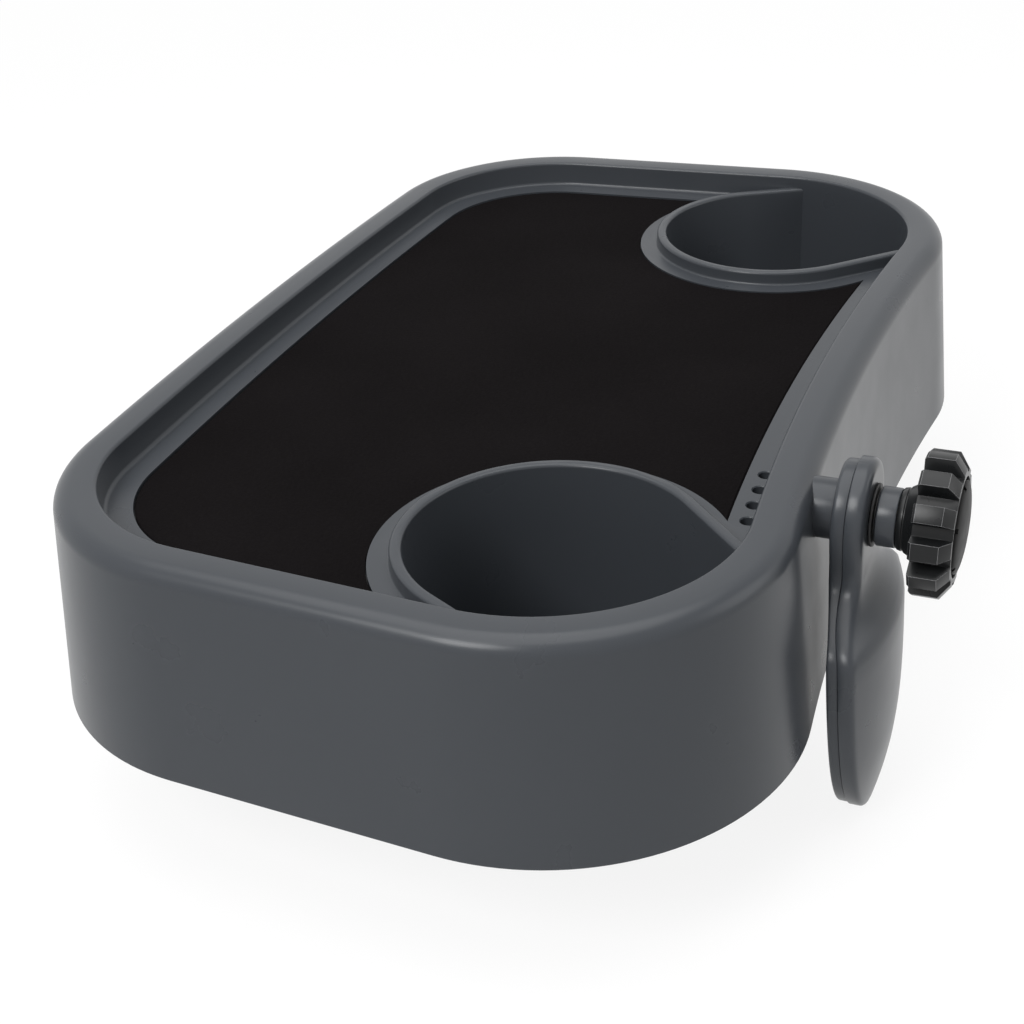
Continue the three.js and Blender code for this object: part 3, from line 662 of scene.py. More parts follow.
def thread_loop(out):
    taper = min(1, (STUD_REACH - out) / THREAD_PITCH, (out - THREAD_START) / THREAD_PITCH)
    loop = []
    for i in range(THREAD_SIDES):
        share = i / THREAD_SIDES
        phase = (out / THREAD_PITCH + share) % 1
        sunk = THREAD_DEPTH * min(1, THREAD_FLANK * abs(2 * phase - 1)) * max(taper, 0)
        radius = STUD_R - sunk - THREAD_DEPTH * max(0, THREAD_RUNOUT - (STUD_REACH - out))
        turn = 2 * math.pi * share
        loop.append(clamp_point(radius * math.cos(turn), out, radius * math.sin(turn)))
    return loop


head_profile = [(STUD_HEAD_R - STUD_HEAD_BREAK, head_out), (STUD_HEAD_R, head_out - STUD_HEAD_BREAK)]
for sine, cosine in quarter(STUD_HEAD_STEPS):
    radius = STUD_HEAD_R * blend(STUD_HEAD_FLAT, 1, cosine)
    head_profile.append((radius, head_out - blend(STUD_HEAD_EDGE, STUD_HEAD_HEIGHT, sine)))
stud = turned("stud", head_profile)
neck = STUD_NECK / 2
low = clamp_point(-neck, -BOSS_LENGTH - SEAT_GAP, neck)
high = clamp_point(neck, head_out - SEAT_GAP, -neck)
combine(stud, bar("neck", low, high), "UNION")
thread_levels = [head_out - SEAT_GAP]
thread_count = round((STUD_REACH - THREAD_START) * THREAD_STEPS / THREAD_PITCH)
thread_levels += [THREAD_START + i * THREAD_PITCH / THREAD_STEPS for i in range(thread_count + 1)]
combine(stud, extrude_loops("thread", [thread_loop(out) for out in thread_levels]), "UNION")
smooth(stud)
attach(stud, "tray")
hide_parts("clamp_stud")

# %% [markdown]
# Five small pan-head screws hold the backing plate and the halves of the paddle. One is modelled, with a
# domed head and a cross recess, and copied to each place with a mesh of its own.

# %% Screws
SCREW_HEAD_R = 2.8
SCREW_HEAD_HEIGHT = 1.8
SCREW_HEAD_FLAT = 0.3
SCREW_HEAD_EDGE = 0.4
SCREW_HEAD_STEPS = 5
SCREW_POINT = 0.3
SCREW_SIDES = 32
CROSS_LENGTH = 3.2
CROSS_WIDTH = 0.7
CROSS_DEPTH = 0.9


def screw(name, reach):
    """A screw on the stud axis, with its head seated at zero and its point reaching outward."""
    profile = [(SCREW_POINT * SCREW_R, reach), (SCREW_R, reach - SCREW_R), (SCREW_R, 0), (SCREW_HEAD_R, 0)]
    for sine, cosine in quarter(SCREW_HEAD_STEPS):
        radius = SCREW_HEAD_R * blend(SCREW_HEAD_FLAT, 1, cosine)
        profile.append((radius, -SCREW_HEAD_HEIGHT * blend(SCREW_HEAD_EDGE, 1, sine)))
    piece = turned(name, profile, SCREW_SIDES)
    top = -SCREW_HEAD_HEIGHT
    for long, short in ((CROSS_LENGTH / 2, CROSS_WIDTH / 2), (CROSS_WIDTH / 2, CROSS_LENGTH / 2)):
        low = clamp_point(-long, top + CROSS_DEPTH, short)
        high = clamp_point(long, top - PAST, -short)
        combine(piece, bar("cross", low, high), "DIFFERENCE")
    smooth(piece)
    return piece


def copy_screw(pattern, name, move):
    make_active(pattern)
    bpy.ops.object.duplicate()
    piece = bpy.context.object
    piece.name = piece.data.name = name
    piece.data.transform(Matrix.Translation(move))
    return piece


screw_pattern = screw("screw_pattern", SCREW_REACH)
screws = []
for i, side in enumerate((-1, 1)):
    move = clamp_point(side * PLATE_SCREW_SPAN / 2, plate_in - SEAT_GAP, 0) - clamp_point(0, 0, 0)
    piece = copy_screw(screw_pattern, f"plate_fixing_{i + 1}", move)
    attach(piece, "tray")
    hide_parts(f"plate_screw_{i + 1}")
    screws.append(piece)
print("screws on the plate:", len(screws))

# %% [markdown]
# The paddle presses against the tub. It is a hub that narrows to a neck, steps away from the wall, and ends
# in a leaf-shaped blade. Two moulded halves meet in a parting line along its edge. A grid is laid out in
# rows from the top of the hub to the tip, and every point is set on the face that belongs to its row.

# %% Plan of the paddle
HUB_R = 17.8
NECK_END = 16
NECK_HALF_WIDTH = 15.5
BLADE_START = 36
BLADE_HALF_WIDTH = 36
BLADE_LENGTH = 105
BLADE_FULLNESS = 2.5


def ease(start, end, value):
    share = min(1, max(0, (value - start) / (end - start)))
    return share * share * (3 - 2 * share)


def blade_share(drop):
    return ease(NECK_END, BLADE_START, drop)


def tip_share(drop):
    return max(0, (drop - BLADE_START) / (BLADE_LENGTH - BLADE_START))


def half_width(drop):
    if drop < 0:
        return math.sqrt(HUB_R ** 2 - drop ** 2)
    if drop > BLADE_START:
        return BLADE_HALF_WIDTH * (1 - tip_share(drop) ** BLADE_FULLNESS) ** (1 / BLADE_FULLNESS)
    neck = blend(HUB_R, NECK_HALF_WIDTH, ease(0, NECK_END, drop))
    return blend(neck, BLADE_HALF_WIDTH, blade_share(drop))


print("width halfway down the blade:", round(2 * half_width((BLADE_START + BLADE_LENGTH) / 2), 1), "mm")

# %% [markdown]
# The rows stand closer where the outline turns fast, at the top of the hub and at the tip. A half can be
# drawn in by a small step, which is smaller at the blade. How far a point lies from the edge is measured
# too, because the rounding of the edge depends on it.

# %% Rows of the paddle
BLADE_SHY = 0.4
HUB_ROWS = 22
FLARE_ROWS = 14
TIP_ROWS = 30


def paddle_rows(shy):
    """Rows as distance below the axis and half width, drawn in by shy at the hub and less at the blade."""
    scale = 1 - shy / HUB_R
    blade_shy = BLADE_SHY * shy
    rows = []
    for i in range(1, HUB_ROWS + 1):
        drop = -HUB_R * math.cos(math.pi / 2 * i / HUB_ROWS)
        rows.append((drop * scale, half_width(drop) * scale))
    for i in range(1, FLARE_ROWS + 1):
        drop = BLADE_START * i / FLARE_ROWS
        rows.append((drop, half_width(drop) - blend(shy, blade_shy, blade_share(drop))))
    for i in range(1, TIP_ROWS):
        share = math.sin(math.pi / 2 * i / TIP_ROWS) ** (2 / BLADE_FULLNESS)
        drop = blend(BLADE_START, BLADE_LENGTH, share)
        inset = 1 - blade_shy / BLADE_HALF_WIDTH
        rows.append((blend(BLADE_START, BLADE_LENGTH - blade_shy, share), half_width(drop) * inset))
    return rows


def edge_distance(spot, edge):
    """Distance from a point of the plan to the edge line."""
    nearest = math.inf
    for start, end in zip(edge, edge[1:]):
        along = end - start
        share = max(0, min(1, (spot - start).dot(along) / along.length_squared))
        nearest = min(nearest, (start + along * share - spot).length)
    return nearest


print("rows of the paddle:", len(paddle_rows(0)))

# %% [markdown]
# Each half lies between two faces. The hub is flat. Below it the faces step outward, lean a little, and
# arch between the edges of the blade, so that its hollow side can lie against a curved tub wall. A face
# is a height that depends on the distance down the paddle and the share across it.

# %% Faces of the paddle
HUB_THICKNESS = 10.4
HUB_SEAM = 4.6
BLADE_SET = 4.6
BLADE_LEAN = 0.05
BLADE_INNER = 4
BLADE_OUTER = 4.6
BLADE_HOLLOW = 4.8
BLADE_CROWN = 7.5
BLADE_FADE = 3


def arch(drop, across):
    """How far the blade arches between its edges, fading out at the tip."""
    return blade_share(drop) * (1 - tip_share(drop) ** BLADE_FADE) * (1 - across ** 2)


def root_face(drop):
    return SEAT_GAP + BLADE_SET * blade_share(drop) + BLADE_LEAN * max(0, drop - BLADE_START)


def inner_face(drop, across):
    return root_face(drop) + BLADE_HOLLOW * arch(drop, across)


def seam_face(drop, across):
    flat = blend(SEAT_GAP + HUB_SEAM, root_face(drop) + BLADE_INNER, blade_share(drop))
    return flat + BLADE_HOLLOW * arch(drop, across)


def inner_seam(drop, across):
    return seam_face(drop, across) - SEAT_GAP / 2


def outer_seam(drop, across):
    return seam_face(drop, across) + SEAT_GAP / 2


def outer_face(drop, across):
    blade = root_face(drop) + BLADE_INNER + BLADE_OUTER
    flat = blend(SEAT_GAP + HUB_THICKNESS, blade, blade_share(drop))
    return flat + BLADE_CROWN * arch(drop, across)


print("faces of the hub:", [round(face(0, 0), 2) for face in (inner_face, seam_face, outer_face)])

# %% [markdown]
# A half is a flat grid that is extruded once: the first layer is laid on its lower face, the second on
# its upper face. Near the edge both sink in a quarter round, softer at the hub than at the blade, and the
# columns stand closer there to carry it. The inner half is drawn in a little, which gives the parting line
# its small step.

# %% Paddle halves
EDGE_COLUMNS = (0, 0.03, 0.12, 0.3, 0.6, 1)
EDGE_SHARE = 0.45
MIDDLE_COLUMNS = 12


def columns(half, edge_round):
    """Shares across a row, close together near the edge."""
    narrow = min(1, EDGE_SHARE * half / (edge_round * EDGE_COLUMNS[-1]))
    side = [1 - share * edge_round * narrow / half for share in EDGE_COLUMNS]
    inner = [side[-1] * (1 - 2 * i / MIDDLE_COLUMNS) for i in range(1, MIDDLE_COLUMNS)]
    return side + inner + [-share for share in reversed(side)]


def paddle_half(name, low_face, high_face, low_rounds, high_rounds, shy):
    """Lay a half between two faces, each with an edge radius for the hub and one for the blade."""
    rows = paddle_rows(shy)
    edge = [Vector((0, shy - HUB_R))]
    edge += [Vector((half, drop)) for drop, half in rows]
    edge.append(Vector((0, BLADE_LENGTH - BLADE_SHY * shy)))
    wide = max(low_rounds + high_rounds)
    low, high = [], []
    layers = ((low, low_face, low_rounds, 1), (high, high_face, high_rounds, -1))
    for drop, half in rows:
        for share in columns(half, wide):
            x = share * half
            inside = edge_distance(Vector((abs(x), drop)), edge)
            for places, face, rounds, sign in layers:
                rounding = blend(*rounds, blade_share(drop))
                near = 1 - min(1, inside / rounding)
                sunk = rounding * (1 - math.sqrt(1 - near * near))
                places.append(clamp_point(x, face(drop, share) + sign * sunk, drop))
    width = len(columns(HUB_R, wide))
    deselect()
    bpy.ops.mesh.primitive_grid_add(x_subdivisions=width - 1, y_subdivisions=len(rows) - 1)
    piece = bpy.context.object
    piece.name = piece.data.name = name
    number_points(piece.data)
    bpy.ops.object.mode_set(mode="EDIT")
    bpy.ops.mesh.select_all(action="SELECT")
    place_selected(piece.data, low)
    bpy.ops.mesh.extrude_region_move()
    place_selected(piece.data, high)
    close_up(piece)
    return piece


HUB_SHY = 1.2
SEAM_ROUNDS = (0.3, 0.2)
INNER_ROUNDS = (1.4, 1.2)
OUTER_ROUNDS = (2.6, 1.2)

paddle_inner = paddle_half("paddle_inner", inner_face, inner_seam, INNER_ROUNDS, SEAM_ROUNDS, HUB_SHY)
paddle_outer = paddle_half("paddle_outer", outer_seam, outer_face, SEAM_ROUNDS, OUTER_ROUNDS, 0)
print("faces of the halves:", len(paddle_inner.data.polygons), len(paddle_outer.data.polygons))

# %% [markdown]
# The hub is drilled for its bush. Three screws go in from the side of the wall, where nobody sees them,
# and their heads are sunk below the face that touches the tub.

# %% Bores and screws of the paddle
BUSH_R = 6.2
SCREW_ALONG = (0.17, 0.43, 0.7)
SCREW_ACROSS = (-0.5, 0.46, -0.26)
SCREW_SINK = 0.6
SOFT_ANGLE = 40

for half in (paddle_inner, paddle_outer):
    drill(half, BUSH_R + BORE_CLEARANCE, -PAST, 2 * HUB_THICKNESS, sides=BORE_SIDES)
for i, (along, across) in enumerate(zip(SCREW_ALONG, SCREW_ACROSS)):
    drop = blend(BLADE_START, BLADE_LENGTH, along)
    x = across * half_width(drop)
    seat = inner_face(drop, across) + SCREW_HEAD_HEIGHT + SCREW_SINK
    for half in (paddle_inner, paddle_outer):
        drill(half, SCREW_R + BORE_CLEARANCE, -PAST, seat + SCREW_REACH, x, drop)
    drill(paddle_inner, SCREW_HEAD_R + BORE_CLEARANCE, -PAST, seat + SEAT_GAP, x, drop)
    move = clamp_point(x, seat, drop) - clamp_point(0, 0, 0)
    piece = copy_screw(screw_pattern, f"paddle_fixing_{i + 1}", move)
    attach(piece, "paddle")
    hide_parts(f"paddle_screw_{i + 1}")
    screws.append(piece)
bpy.data.objects.remove(screw_pattern)
for half, node in ((paddle_inner, "paddle_inner_half"), (paddle_outer, "paddle_outer_half")):
    smooth(half, SOFT_ANGLE)
    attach(half, "paddle")
    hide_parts(node)
print("screws in all:", len(screws))

# %% [markdown]
# Between the hub and the knob lie two thin washers, so that the turning knob does not drag the paddle
# along. Both are stamped from sheet, with a softly broken edge.

# %% Washers
RUBBER_R = 10
RUBBER_THICKNESS = 0.8
SLIP_R = 8.4
SLIP_THICKNESS = 0.5
WASHER_EDGE = 0.2
WASHER_EDGE_STEPS = 3

rubber_in = 2 * SEAT_GAP + HUB_THICKNESS
rubber_out = rubber_in + RUBBER_THICKNESS
slip_in = rubber_out + SEAT_GAP
slip_out = slip_in + SLIP_THICKNESS


def washer(name, radius, start, end):
    profile = [(stud_bore, start), (radius - WASHER_EDGE, start)]
    for sine, cosine in quarter(WASHER_EDGE_STEPS):
        profile.append((radius - WASHER_EDGE * (1 - sine), start + WASHER_EDGE * (1 - cosine)))
    for sine, cosine in quarter(WASHER_EDGE_STEPS):
        profile.append((radius - WASHER_EDGE * (1 - cosine), end - WASHER_EDGE * (1 - sine)))
    profile.append((stud_bore, end))
    return turned(name, profile, ring=True)


washer_rubber = washer("washer_rubber", RUBBER_R, rubber_in, rubber_out)
washer_slip = washer("washer_slip", SLIP_R, slip_in, slip_out)
for piece, node, slot in (
    (washer_rubber, "rubber_washer", "washer_rubber"),
    (washer_slip, "slip_washer", "black_knob"),
):
    smooth(piece)
    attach(piece, "clamp_carriage")
    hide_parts(node)

# %% [markdown]
# The knob starts with a short grey collar that covers the end of its thread insert. It is a turned ring
# with a seat for the insert, so its profile runs in a closed line instead of from cap to cap.

# %% Collar
COLLAR_R = 9.4
COLLAR_LENGTH = 6.2
COLLAR_EDGE = 0.5
COLLAR_EDGE_STEPS = 4
INSERT_R = 6.5
INSERT_SHY = 1

collar_in = slip_out + SEAT_GAP
collar_out = collar_in + COLLAR_LENGTH
insert_in = collar_in + INSERT_SHY
collar_profile = [(stud_bore, collar_in)]
for sine, cosine in quarter(COLLAR_EDGE_STEPS):
    collar_profile.append((COLLAR_R - COLLAR_EDGE * (1 - sine), collar_in + COLLAR_EDGE * (1 - cosine)))
for sine, cosine in quarter(COLLAR_EDGE_STEPS):
    collar_profile.append((COLLAR_R - COLLAR_EDGE * (1 - cosine), collar_out - COLLAR_EDGE * (1 - sine)))
collar_profile += [
    (INSERT_R + BORE_CLEARANCE, collar_out),
    (INSERT_R + BORE_CLEARANCE, insert_in - SEAT_GAP),
    (stud_bore, insert_in - SEAT_GAP),
]
collar = turned("collar", collar_profile, ring=True)
smooth(collar)

# %% [markdown]
# The black handwheel and its neck are one moulding. Twelve lobes give wet fingers a hold. Their sides are
# parallel, so their half angle grows towards the root. A loop around them is extruded along the axis and
# drawn in at both ends for the cut-back corners.

# %% Lobes of the handwheel
NECK_LENGTH = 5.9
WHEEL_R = 22.8
WHEEL_ROOT_R = 17.4
WHEEL_THICKNESS = 12.2
LOBE_COUNT = 12
LOBE_WIDTH = 5.6
LOBE_TURN = math.radians(-5.7)
LOBE_LEAST = 1
GAP_STEPS = 4
FRONT_CUT = 3.2
FRONT_SLOPE = 1.4
BACK_CUT = 0.8

neck_in = collar_out + SEAT_GAP
wheel_in = neck_in + NECK_LENGTH
wheel_out = wheel_in + WHEEL_THICKNESS


def wheel_loop(out, limit):
    """Plan of the lobes, kept inside a radius."""
    loop = []
    top = min(WHEEL_R, limit)
    root = min(WHEEL_ROOT_R, limit - LOBE_LEAST)
    pitch = 2 * math.pi / LOBE_COUNT
    half_top = math.asin(LOBE_WIDTH / 2 / top)
    half_root = math.asin(LOBE_WIDTH / 2 / root)
    gap = pitch - 2 * half_root
    for i in range(LOBE_COUNT):
        middle = i * pitch + LOBE_TURN
        corners = [(root, -half_root), (top, -half_top), (top, half_top), (root, half_root)]
        corners += [(root, half_root + gap * step / GAP_STEPS) for step in range(1, GAP_STEPS)]
        for radius, turn in corners:
            angle = middle + turn
            loop.append(clamp_point(radius * math.cos(angle), out, -radius * math.sin(angle)))
    return loop


knob = extrude_loops("knob", [
    wheel_loop(wheel_in, WHEEL_R - BACK_CUT),
    wheel_loop(wheel_in + BACK_CUT, WHEEL_R),
    wheel_loop(wheel_out - FRONT_CUT, WHEEL_R),
    wheel_loop(wheel_out, WHEEL_R - FRONT_SLOPE * FRONT_CUT),
])
print("handwheel from", round(wheel_in, 2), "to", round(wheel_out, 2), "mm")

# %% [markdown]
# The neck carries a bead and a groove, and flares where it meets the wheel. It is turned and joined to the
# lobes. Then the seat of the cap, the bore of the stud and the hole of the insert are cut.

# %% Neck and bores of the knob
NECK_START_R = 9.7
NECK_R = 11.5
NECK_FULL = 0.75
NECK_FLARE = 1.2
NECK_FLARE_END = 0.4
NECK_BEAD = 1.6
NECK_SIDES = 72
GROOVE = 0.3
GROOVE_FLOOR = 0.3
GROOVE_SLOPE = 0.2
INSERT_LENGTH = 15
INSERT_SIDES = 48
CAP_R = 15.5
CAP_SEAT = 2
CAP_SIDES = 96

bead_out = neck_in + NECK_BEAD
groove_out = bead_out + GROOVE_SLOPE + GROOVE_FLOOR
insert_out = insert_in + INSERT_LENGTH
cap_in = wheel_out - CAP_SEAT
neck_profile = [
    (NECK_START_R - GROOVE, neck_in),
    (NECK_START_R, neck_in + GROOVE),
    (NECK_START_R + GROOVE, bead_out),
    (NECK_START_R, bead_out + GROOVE_SLOPE),
    (NECK_START_R, groove_out),
    (NECK_START_R + 2 * GROOVE, groove_out + GROOVE_SLOPE),
    (NECK_R, neck_in + NECK_FULL * NECK_LENGTH),
    (NECK_R + NECK_FLARE, wheel_in - NECK_FLARE_END),
    (NECK_R + NECK_FLARE, wheel_in + PAST),
]
combine(knob, turned("neck", neck_profile, NECK_SIDES), "UNION")
drill(knob, CAP_R + BORE_CLEARANCE, cap_in - SEAT_GAP, wheel_out + PAST, sides=CAP_SIDES)
drill(knob, stud_bore, neck_in - PAST, wheel_out + PAST, sides=INSERT_SIDES)
drill(knob, INSERT_R + BORE_CLEARANCE, neck_in - PAST, insert_out + SEAT_GAP, sides=INSERT_SIDES)
print("knob faces before its edges are rounded:", len(knob.data.polygons))

# %% [markdown]
# The edges of the lobes get a painted highlight: a lighter colour stands in for the glint of the lamps on
# them. The bevel that rounds the edges can put its new faces in a material slot of their own. Here that
# slot is only a mark: it becomes an attribute of the faces, which the finish reads later, and all faces go
# back to the first slot.

# %% Round the edges of the knob and mark those of the lobes
EDGE_WIDTH = 0.45
EDGE_SEGMENTS = 3
EDGE_ANGLE = math.radians(35)
EDGE_SLOT = 1
# Only bevel faces farther out than this radius, on the lobes, get the painted highlight.
HIGHLIGHT_FROM_R = 18

for _ in range(EDGE_SLOT + 1):
    knob.data.materials.append(None)
bevel = knob.modifiers.new("bevel", "BEVEL")
bevel.material = EDGE_SLOT
bevel.width = EDGE_WIDTH * MM
bevel.segments = EDGE_SEGMENTS
bevel.limit_method = "ANGLE"
bevel.angle_limit = EDGE_ANGLE
apply_modifier(knob, bevel)
# The bevel's faces out on the lobes are marked for the painted highlight of the edges.
painted_highlight = knob.data.attributes.new("edge_highlight_mark", "FLOAT", "FACE")
for face in knob.data.polygons:
    on_lobe = math.hypot(face.center.x, face.center.z) > HIGHLIGHT_FROM_R * MM
    painted_highlight.data[face.index].value = float(on_lobe and face.material_index == EDGE_SLOT)
    face.material_index = 0
print("worn faces:", sum(mark.value > 0 for mark in painted_highlight.data))
smooth(knob, SOFT_ANGLE)

# %% [markdown]
# A low domed cap closes the front of the knob and hides the end of the stud. Small notches in its edge
# let a thin tool lift it out. Each is cut by a bar that is turned about the axis to its place.

# %% Cap
CAP_RISE = 1.4
CAP_EDGE = 0.7
CAP_LIP = 0.3
CAP_SHY = 0.9
DOME_FLAT = 0.01
DOME_STEPS = 12
NOTCH_COUNT = 6
NOTCH_WIDTH = 1.6
NOTCH_DEPTH = 1.1
NOTCH_SINK = 0.5

dome_r = CAP_R - CAP_SHY
lip_out = cap_in + CAP_LIP
cap_profile = [(CAP_R - CAP_LIP, cap_in), (CAP_R, lip_out), (dome_r, lip_out), (dome_r, wheel_out)]
for sine, cosine in quarter(DOME_STEPS)[1:]:
    cap_profile.append((dome_r * blend(DOME_FLAT, 1, cosine), wheel_out + (CAP_RISE + CAP_EDGE) * sine))
cap = turned("cap", cap_profile, CAP_SIDES)
drill(cap, stud_bore, cap_in - PAST, wheel_out + CAP_EDGE, sides=INSERT_SIDES)
for i in range(NOTCH_COUNT):
    low = clamp_point(-NOTCH_WIDTH / 2, wheel_out + CAP_RISE, -dome_r + NOTCH_DEPTH)
    high = clamp_point(NOTCH_WIDTH / 2, wheel_out - NOTCH_SINK, -CAP_R - PAST)
    notch = bar("notch", low, high)
    notch.data.transform(Matrix.Rotation(2 * math.pi * i / NOTCH_COUNT + LOBE_TURN, 4, "Y"))
    combine(cap, notch, "DIFFERENCE")
smooth(cap, SOFT_ANGLE)

for piece, node, slot in (
    (collar, "knob_collar", "grey_shell"),
    (knob, "knob_body", "black_knob"),
    (cap, "knob_cap", "black_knob"),
):
    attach(piece, "knob")
    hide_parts(node)

# %% [markdown]
# The finishes are small node trees. A few kinds of node come back in all of them: noise, a map from its
# middle range to two limits, a weighted sum, and a group with its sockets. Helpers add and link these.

# %% Helpers: nodes


def link(tree, start, end):
    tree.links.new(start, end)


def noise(tree, source, scale, detail=3, roughness=0.5):
    node = tree.nodes.new("ShaderNodeTexNoise")
    node.inputs["Scale"].default_value = scale
    node.inputs["Detail"].default_value = detail
    node.inputs["Roughness"].default_value = roughness
    link(tree, source, node.inputs["Vector"])
    return node.outputs["Fac"]


def spread(tree, source, low, high, start=0.3, end=0.7):
    """Map the middle range of a noise to two limits."""
    node = tree.nodes.new("ShaderNodeMapRange")
    node.inputs["From Min"].default_value = start
    node.inputs["From Max"].default_value = end
    node.inputs["To Min"].default_value = low
    node.inputs["To Max"].default_value = high
    link(tree, source, node.inputs["Value"])
    return node.outputs["Result"]


def weigh(tree, source, factor, other):
    """Multiply a value by a number and add another value."""
    node = tree.nodes.new("ShaderNodeMath")
    node.operation = "MULTIPLY_ADD"
    node.inputs[1].default_value = factor
    link(tree, source, node.inputs[0])
    link(tree, other, node.inputs[2])
    return node.outputs[0]


def new_group(name, inputs, outputs):
    group = bpy.data.node_groups.new(name, "ShaderNodeTree")
    for socket in inputs:
        group.interface.new_socket(socket, in_out="INPUT", socket_type="NodeSocketFloat")
    for socket in outputs:
        group.interface.new_socket(socket, in_out="OUTPUT", socket_type="NodeSocketFloat")
    return group, group.nodes.new("NodeGroupInput").outputs, group.nodes.new("NodeGroupOutput").inputs


# %% [markdown]
# Two effects are shared, so each is a node group that is built once. The first is the skin of a moulding:
# a slow drift of tone, a patchy gloss, and a very fine grain on a faint ripple. All are noise on Object
# coordinates, so they stay on the piece from every side.

# %% Group: skin of a moulding
GRAIN_WEIGHT = 0.35

effect_outputs = ["Tone", "Gloss", "Height"]
skin, skin_in, skin_out = new_group("moulded_skin", ["Drift", "Patches", "Grain"], effect_outputs)
place = skin.nodes.new("ShaderNodeTexCoord").outputs["Object"]
drift = noise(skin, place, scale=1, detail=2)
patches = noise(skin, place, scale=1, detail=4)
grain = noise(skin, place, scale=1, detail=2)
for socket, value in (("Drift", drift), ("Patches", patches), ("Grain", grain)):
    link(skin, skin_in[socket], value.node.inputs["Scale"])
link(skin, spread(skin, drift, 0, 1), skin_out["Tone"])
link(skin, spread(skin, patches, 0, 1), skin_out["Gloss"])
link(skin, weigh(skin, grain, GRAIN_WEIGHT, patches), skin_out["Height"])
print("group:", skin.name)

# %% [markdown]
# The second group is for turned and drawn metal: long fine lines, which are a noise stretched far along the
# stud axis, and a slow change of tone.

# %% Group: drawn metal
LINE_STRETCH = (1, 0.03, 1)
METAL_DRIFT = 120

drawn, drawn_in, drawn_out = new_group("drawn_metal", ["Lines"], effect_outputs)
place = drawn.nodes.new("ShaderNodeTexCoord").outputs["Object"]
stretch = drawn.nodes.new("ShaderNodeMapping")
stretch.inputs["Scale"].default_value = LINE_STRETCH
link(drawn, place, stretch.inputs["Vector"])
lines = noise(drawn, stretch.outputs["Vector"], scale=1, detail=4, roughness=0.6)
link(drawn, drawn_in["Lines"], lines.node.inputs["Scale"])
link(drawn, spread(drawn, noise(drawn, place, METAL_DRIFT), 0, 1), drawn_out["Tone"])
link(drawn, spread(drawn, lines, 0, 1), drawn_out["Gloss"])
link(drawn, lines, drawn_out["Height"])
print("group:", drawn.name)

# %% [markdown]
# Every finish follows one recipe. The group says how tone, gloss and height vary, and the material makes
# its own colours, roughness and bump from that. What does not vary is set on the shader itself.

# %% Helper: one finish from a group


def paint_edge_highlight(tree, color, painted_highlight):
    """Mix a lighter colour, a painted highlight, in on the faces that a piece marks for it."""
    mark = tree.nodes.new("ShaderNodeAttribute")
    mark.attribute_name = "edge_highlight_mark"
    mix = tree.nodes.new("ShaderNodeMix")
    mix.data_type = "RGBA"
    mix.inputs["B"].default_value = (*painted_highlight, 1)
    link(tree, mark.outputs["Fac"], mix.inputs["Factor"])
    link(tree, color, mix.inputs["A"])
    return mix.outputs["Result"]


def finish(name, group, values, colors, roughness, bump, distance, specular=0.5, metallic=0, painted_highlight=None):
    """A material whose colour, roughness and bump come from a group, with the bump's distance in mm."""
    material = bpy.data.materials.new(name)
    material.use_nodes = True
    tree = material.node_tree
    shader = tree.nodes["Principled BSDF"]
    shader.inputs["Specular IOR Level"].default_value = specular
    shader.inputs["Metallic"].default_value = metallic
    effect = tree.nodes.new("ShaderNodeGroup")
    effect.node_tree = group
    for socket, value in values.items():
        effect.inputs[socket].default_value = value
    tone = tree.nodes.new("ShaderNodeMix")
    tone.data_type = "RGBA"
    tone.inputs["A"].default_value = (*colors[0], 1)
    tone.inputs["B"].default_value = (*colors[1], 1)
    link(tree, effect.outputs["Tone"], tone.inputs["Factor"])
    color = paint_edge_highlight(tree, tone.outputs["Result"], painted_highlight) if painted_highlight else tone.outputs["Result"]
    link(tree, color, shader.inputs["Base Color"])
    link(tree, spread(tree, effect.outputs["Gloss"], *roughness, 0, 1), shader.inputs["Roughness"])
    relief = tree.nodes.new("ShaderNodeBump")
    relief.inputs["Strength"].default_value = bump
    relief.inputs["Distance"].default_value = distance * MM
    link(tree, effect.outputs["Height"], relief.inputs["Height"])
    link(tree, relief.outputs["Normal"], shader.inputs["Normal"])
    print("finish:", name)
    return material


# %% [markdown]
# The tray and the paddle are dark grey polypropylene, straight from a polished mould: semi-gloss, with
# reflections that waver a little. The knob is a blacker plastic with a painted highlight along the edges of
# its lobes, its cap and the washer are duller, and the mat has hardly any gloss at all.

# %% Finishes of the mouldings
moulded_grey = finish(
    "moulded_grey", skin, {"Drift": 9, "Patches": 45, "Grain": 900},
    colors=[(0.036, 0.040, 0.046), (0.039, 0.043, 0.049)],
    roughness=(0.27, 0.31), bump=0.012, distance=0.4, specular=0.25,
)
moulded_black = finish(
    "moulded_black", skin, {"Drift": 30, "Patches": 160, "Grain": 3000},
    colors=[(0.006, 0.0065, 0.007), (0.009, 0.0095, 0.010)],
    # The second colour of the knob is a painted highlight for the edges of its lobes.
    roughness=(0.26, 0.34), bump=0.05, distance=0.2, specular=0.25, painted_highlight=(0.17, 0.17, 0.175),
)
cap_black = finish(
    "cap_black", skin, {"Drift": 30, "Patches": 160, "Grain": 3000},
    colors=[(0.010, 0.010, 0.010), (0.014, 0.014, 0.014)],
    roughness=(0.42, 0.5), bump=0.05, distance=0.2, specular=0.08,
)
washer_black = finish(
    "washer_black", skin, {"Drift": 60, "Patches": 400, "Grain": 2500},
    colors=[(0.008, 0.008, 0.008), (0.013, 0.013, 0.013)],
    roughness=(0.5, 0.7), bump=0.25, distance=0.2,
)
mat_black = finish(
    "mat_black", skin, {"Drift": 14, "Patches": 900, "Grain": 1800},
    colors=[(0.0036, 0.0030, 0.0032), (0.0052, 0.0044, 0.0047)],
    roughness=(0.85, 1.0), bump=0.5, distance=0.5, specular=0.03,
)

# %% [markdown]
# The stud, the screws and the small fittings of the clamp are steel, and the thread insert of the knob is
# brass. On metal the base colour tints the reflection, so these colours are light.

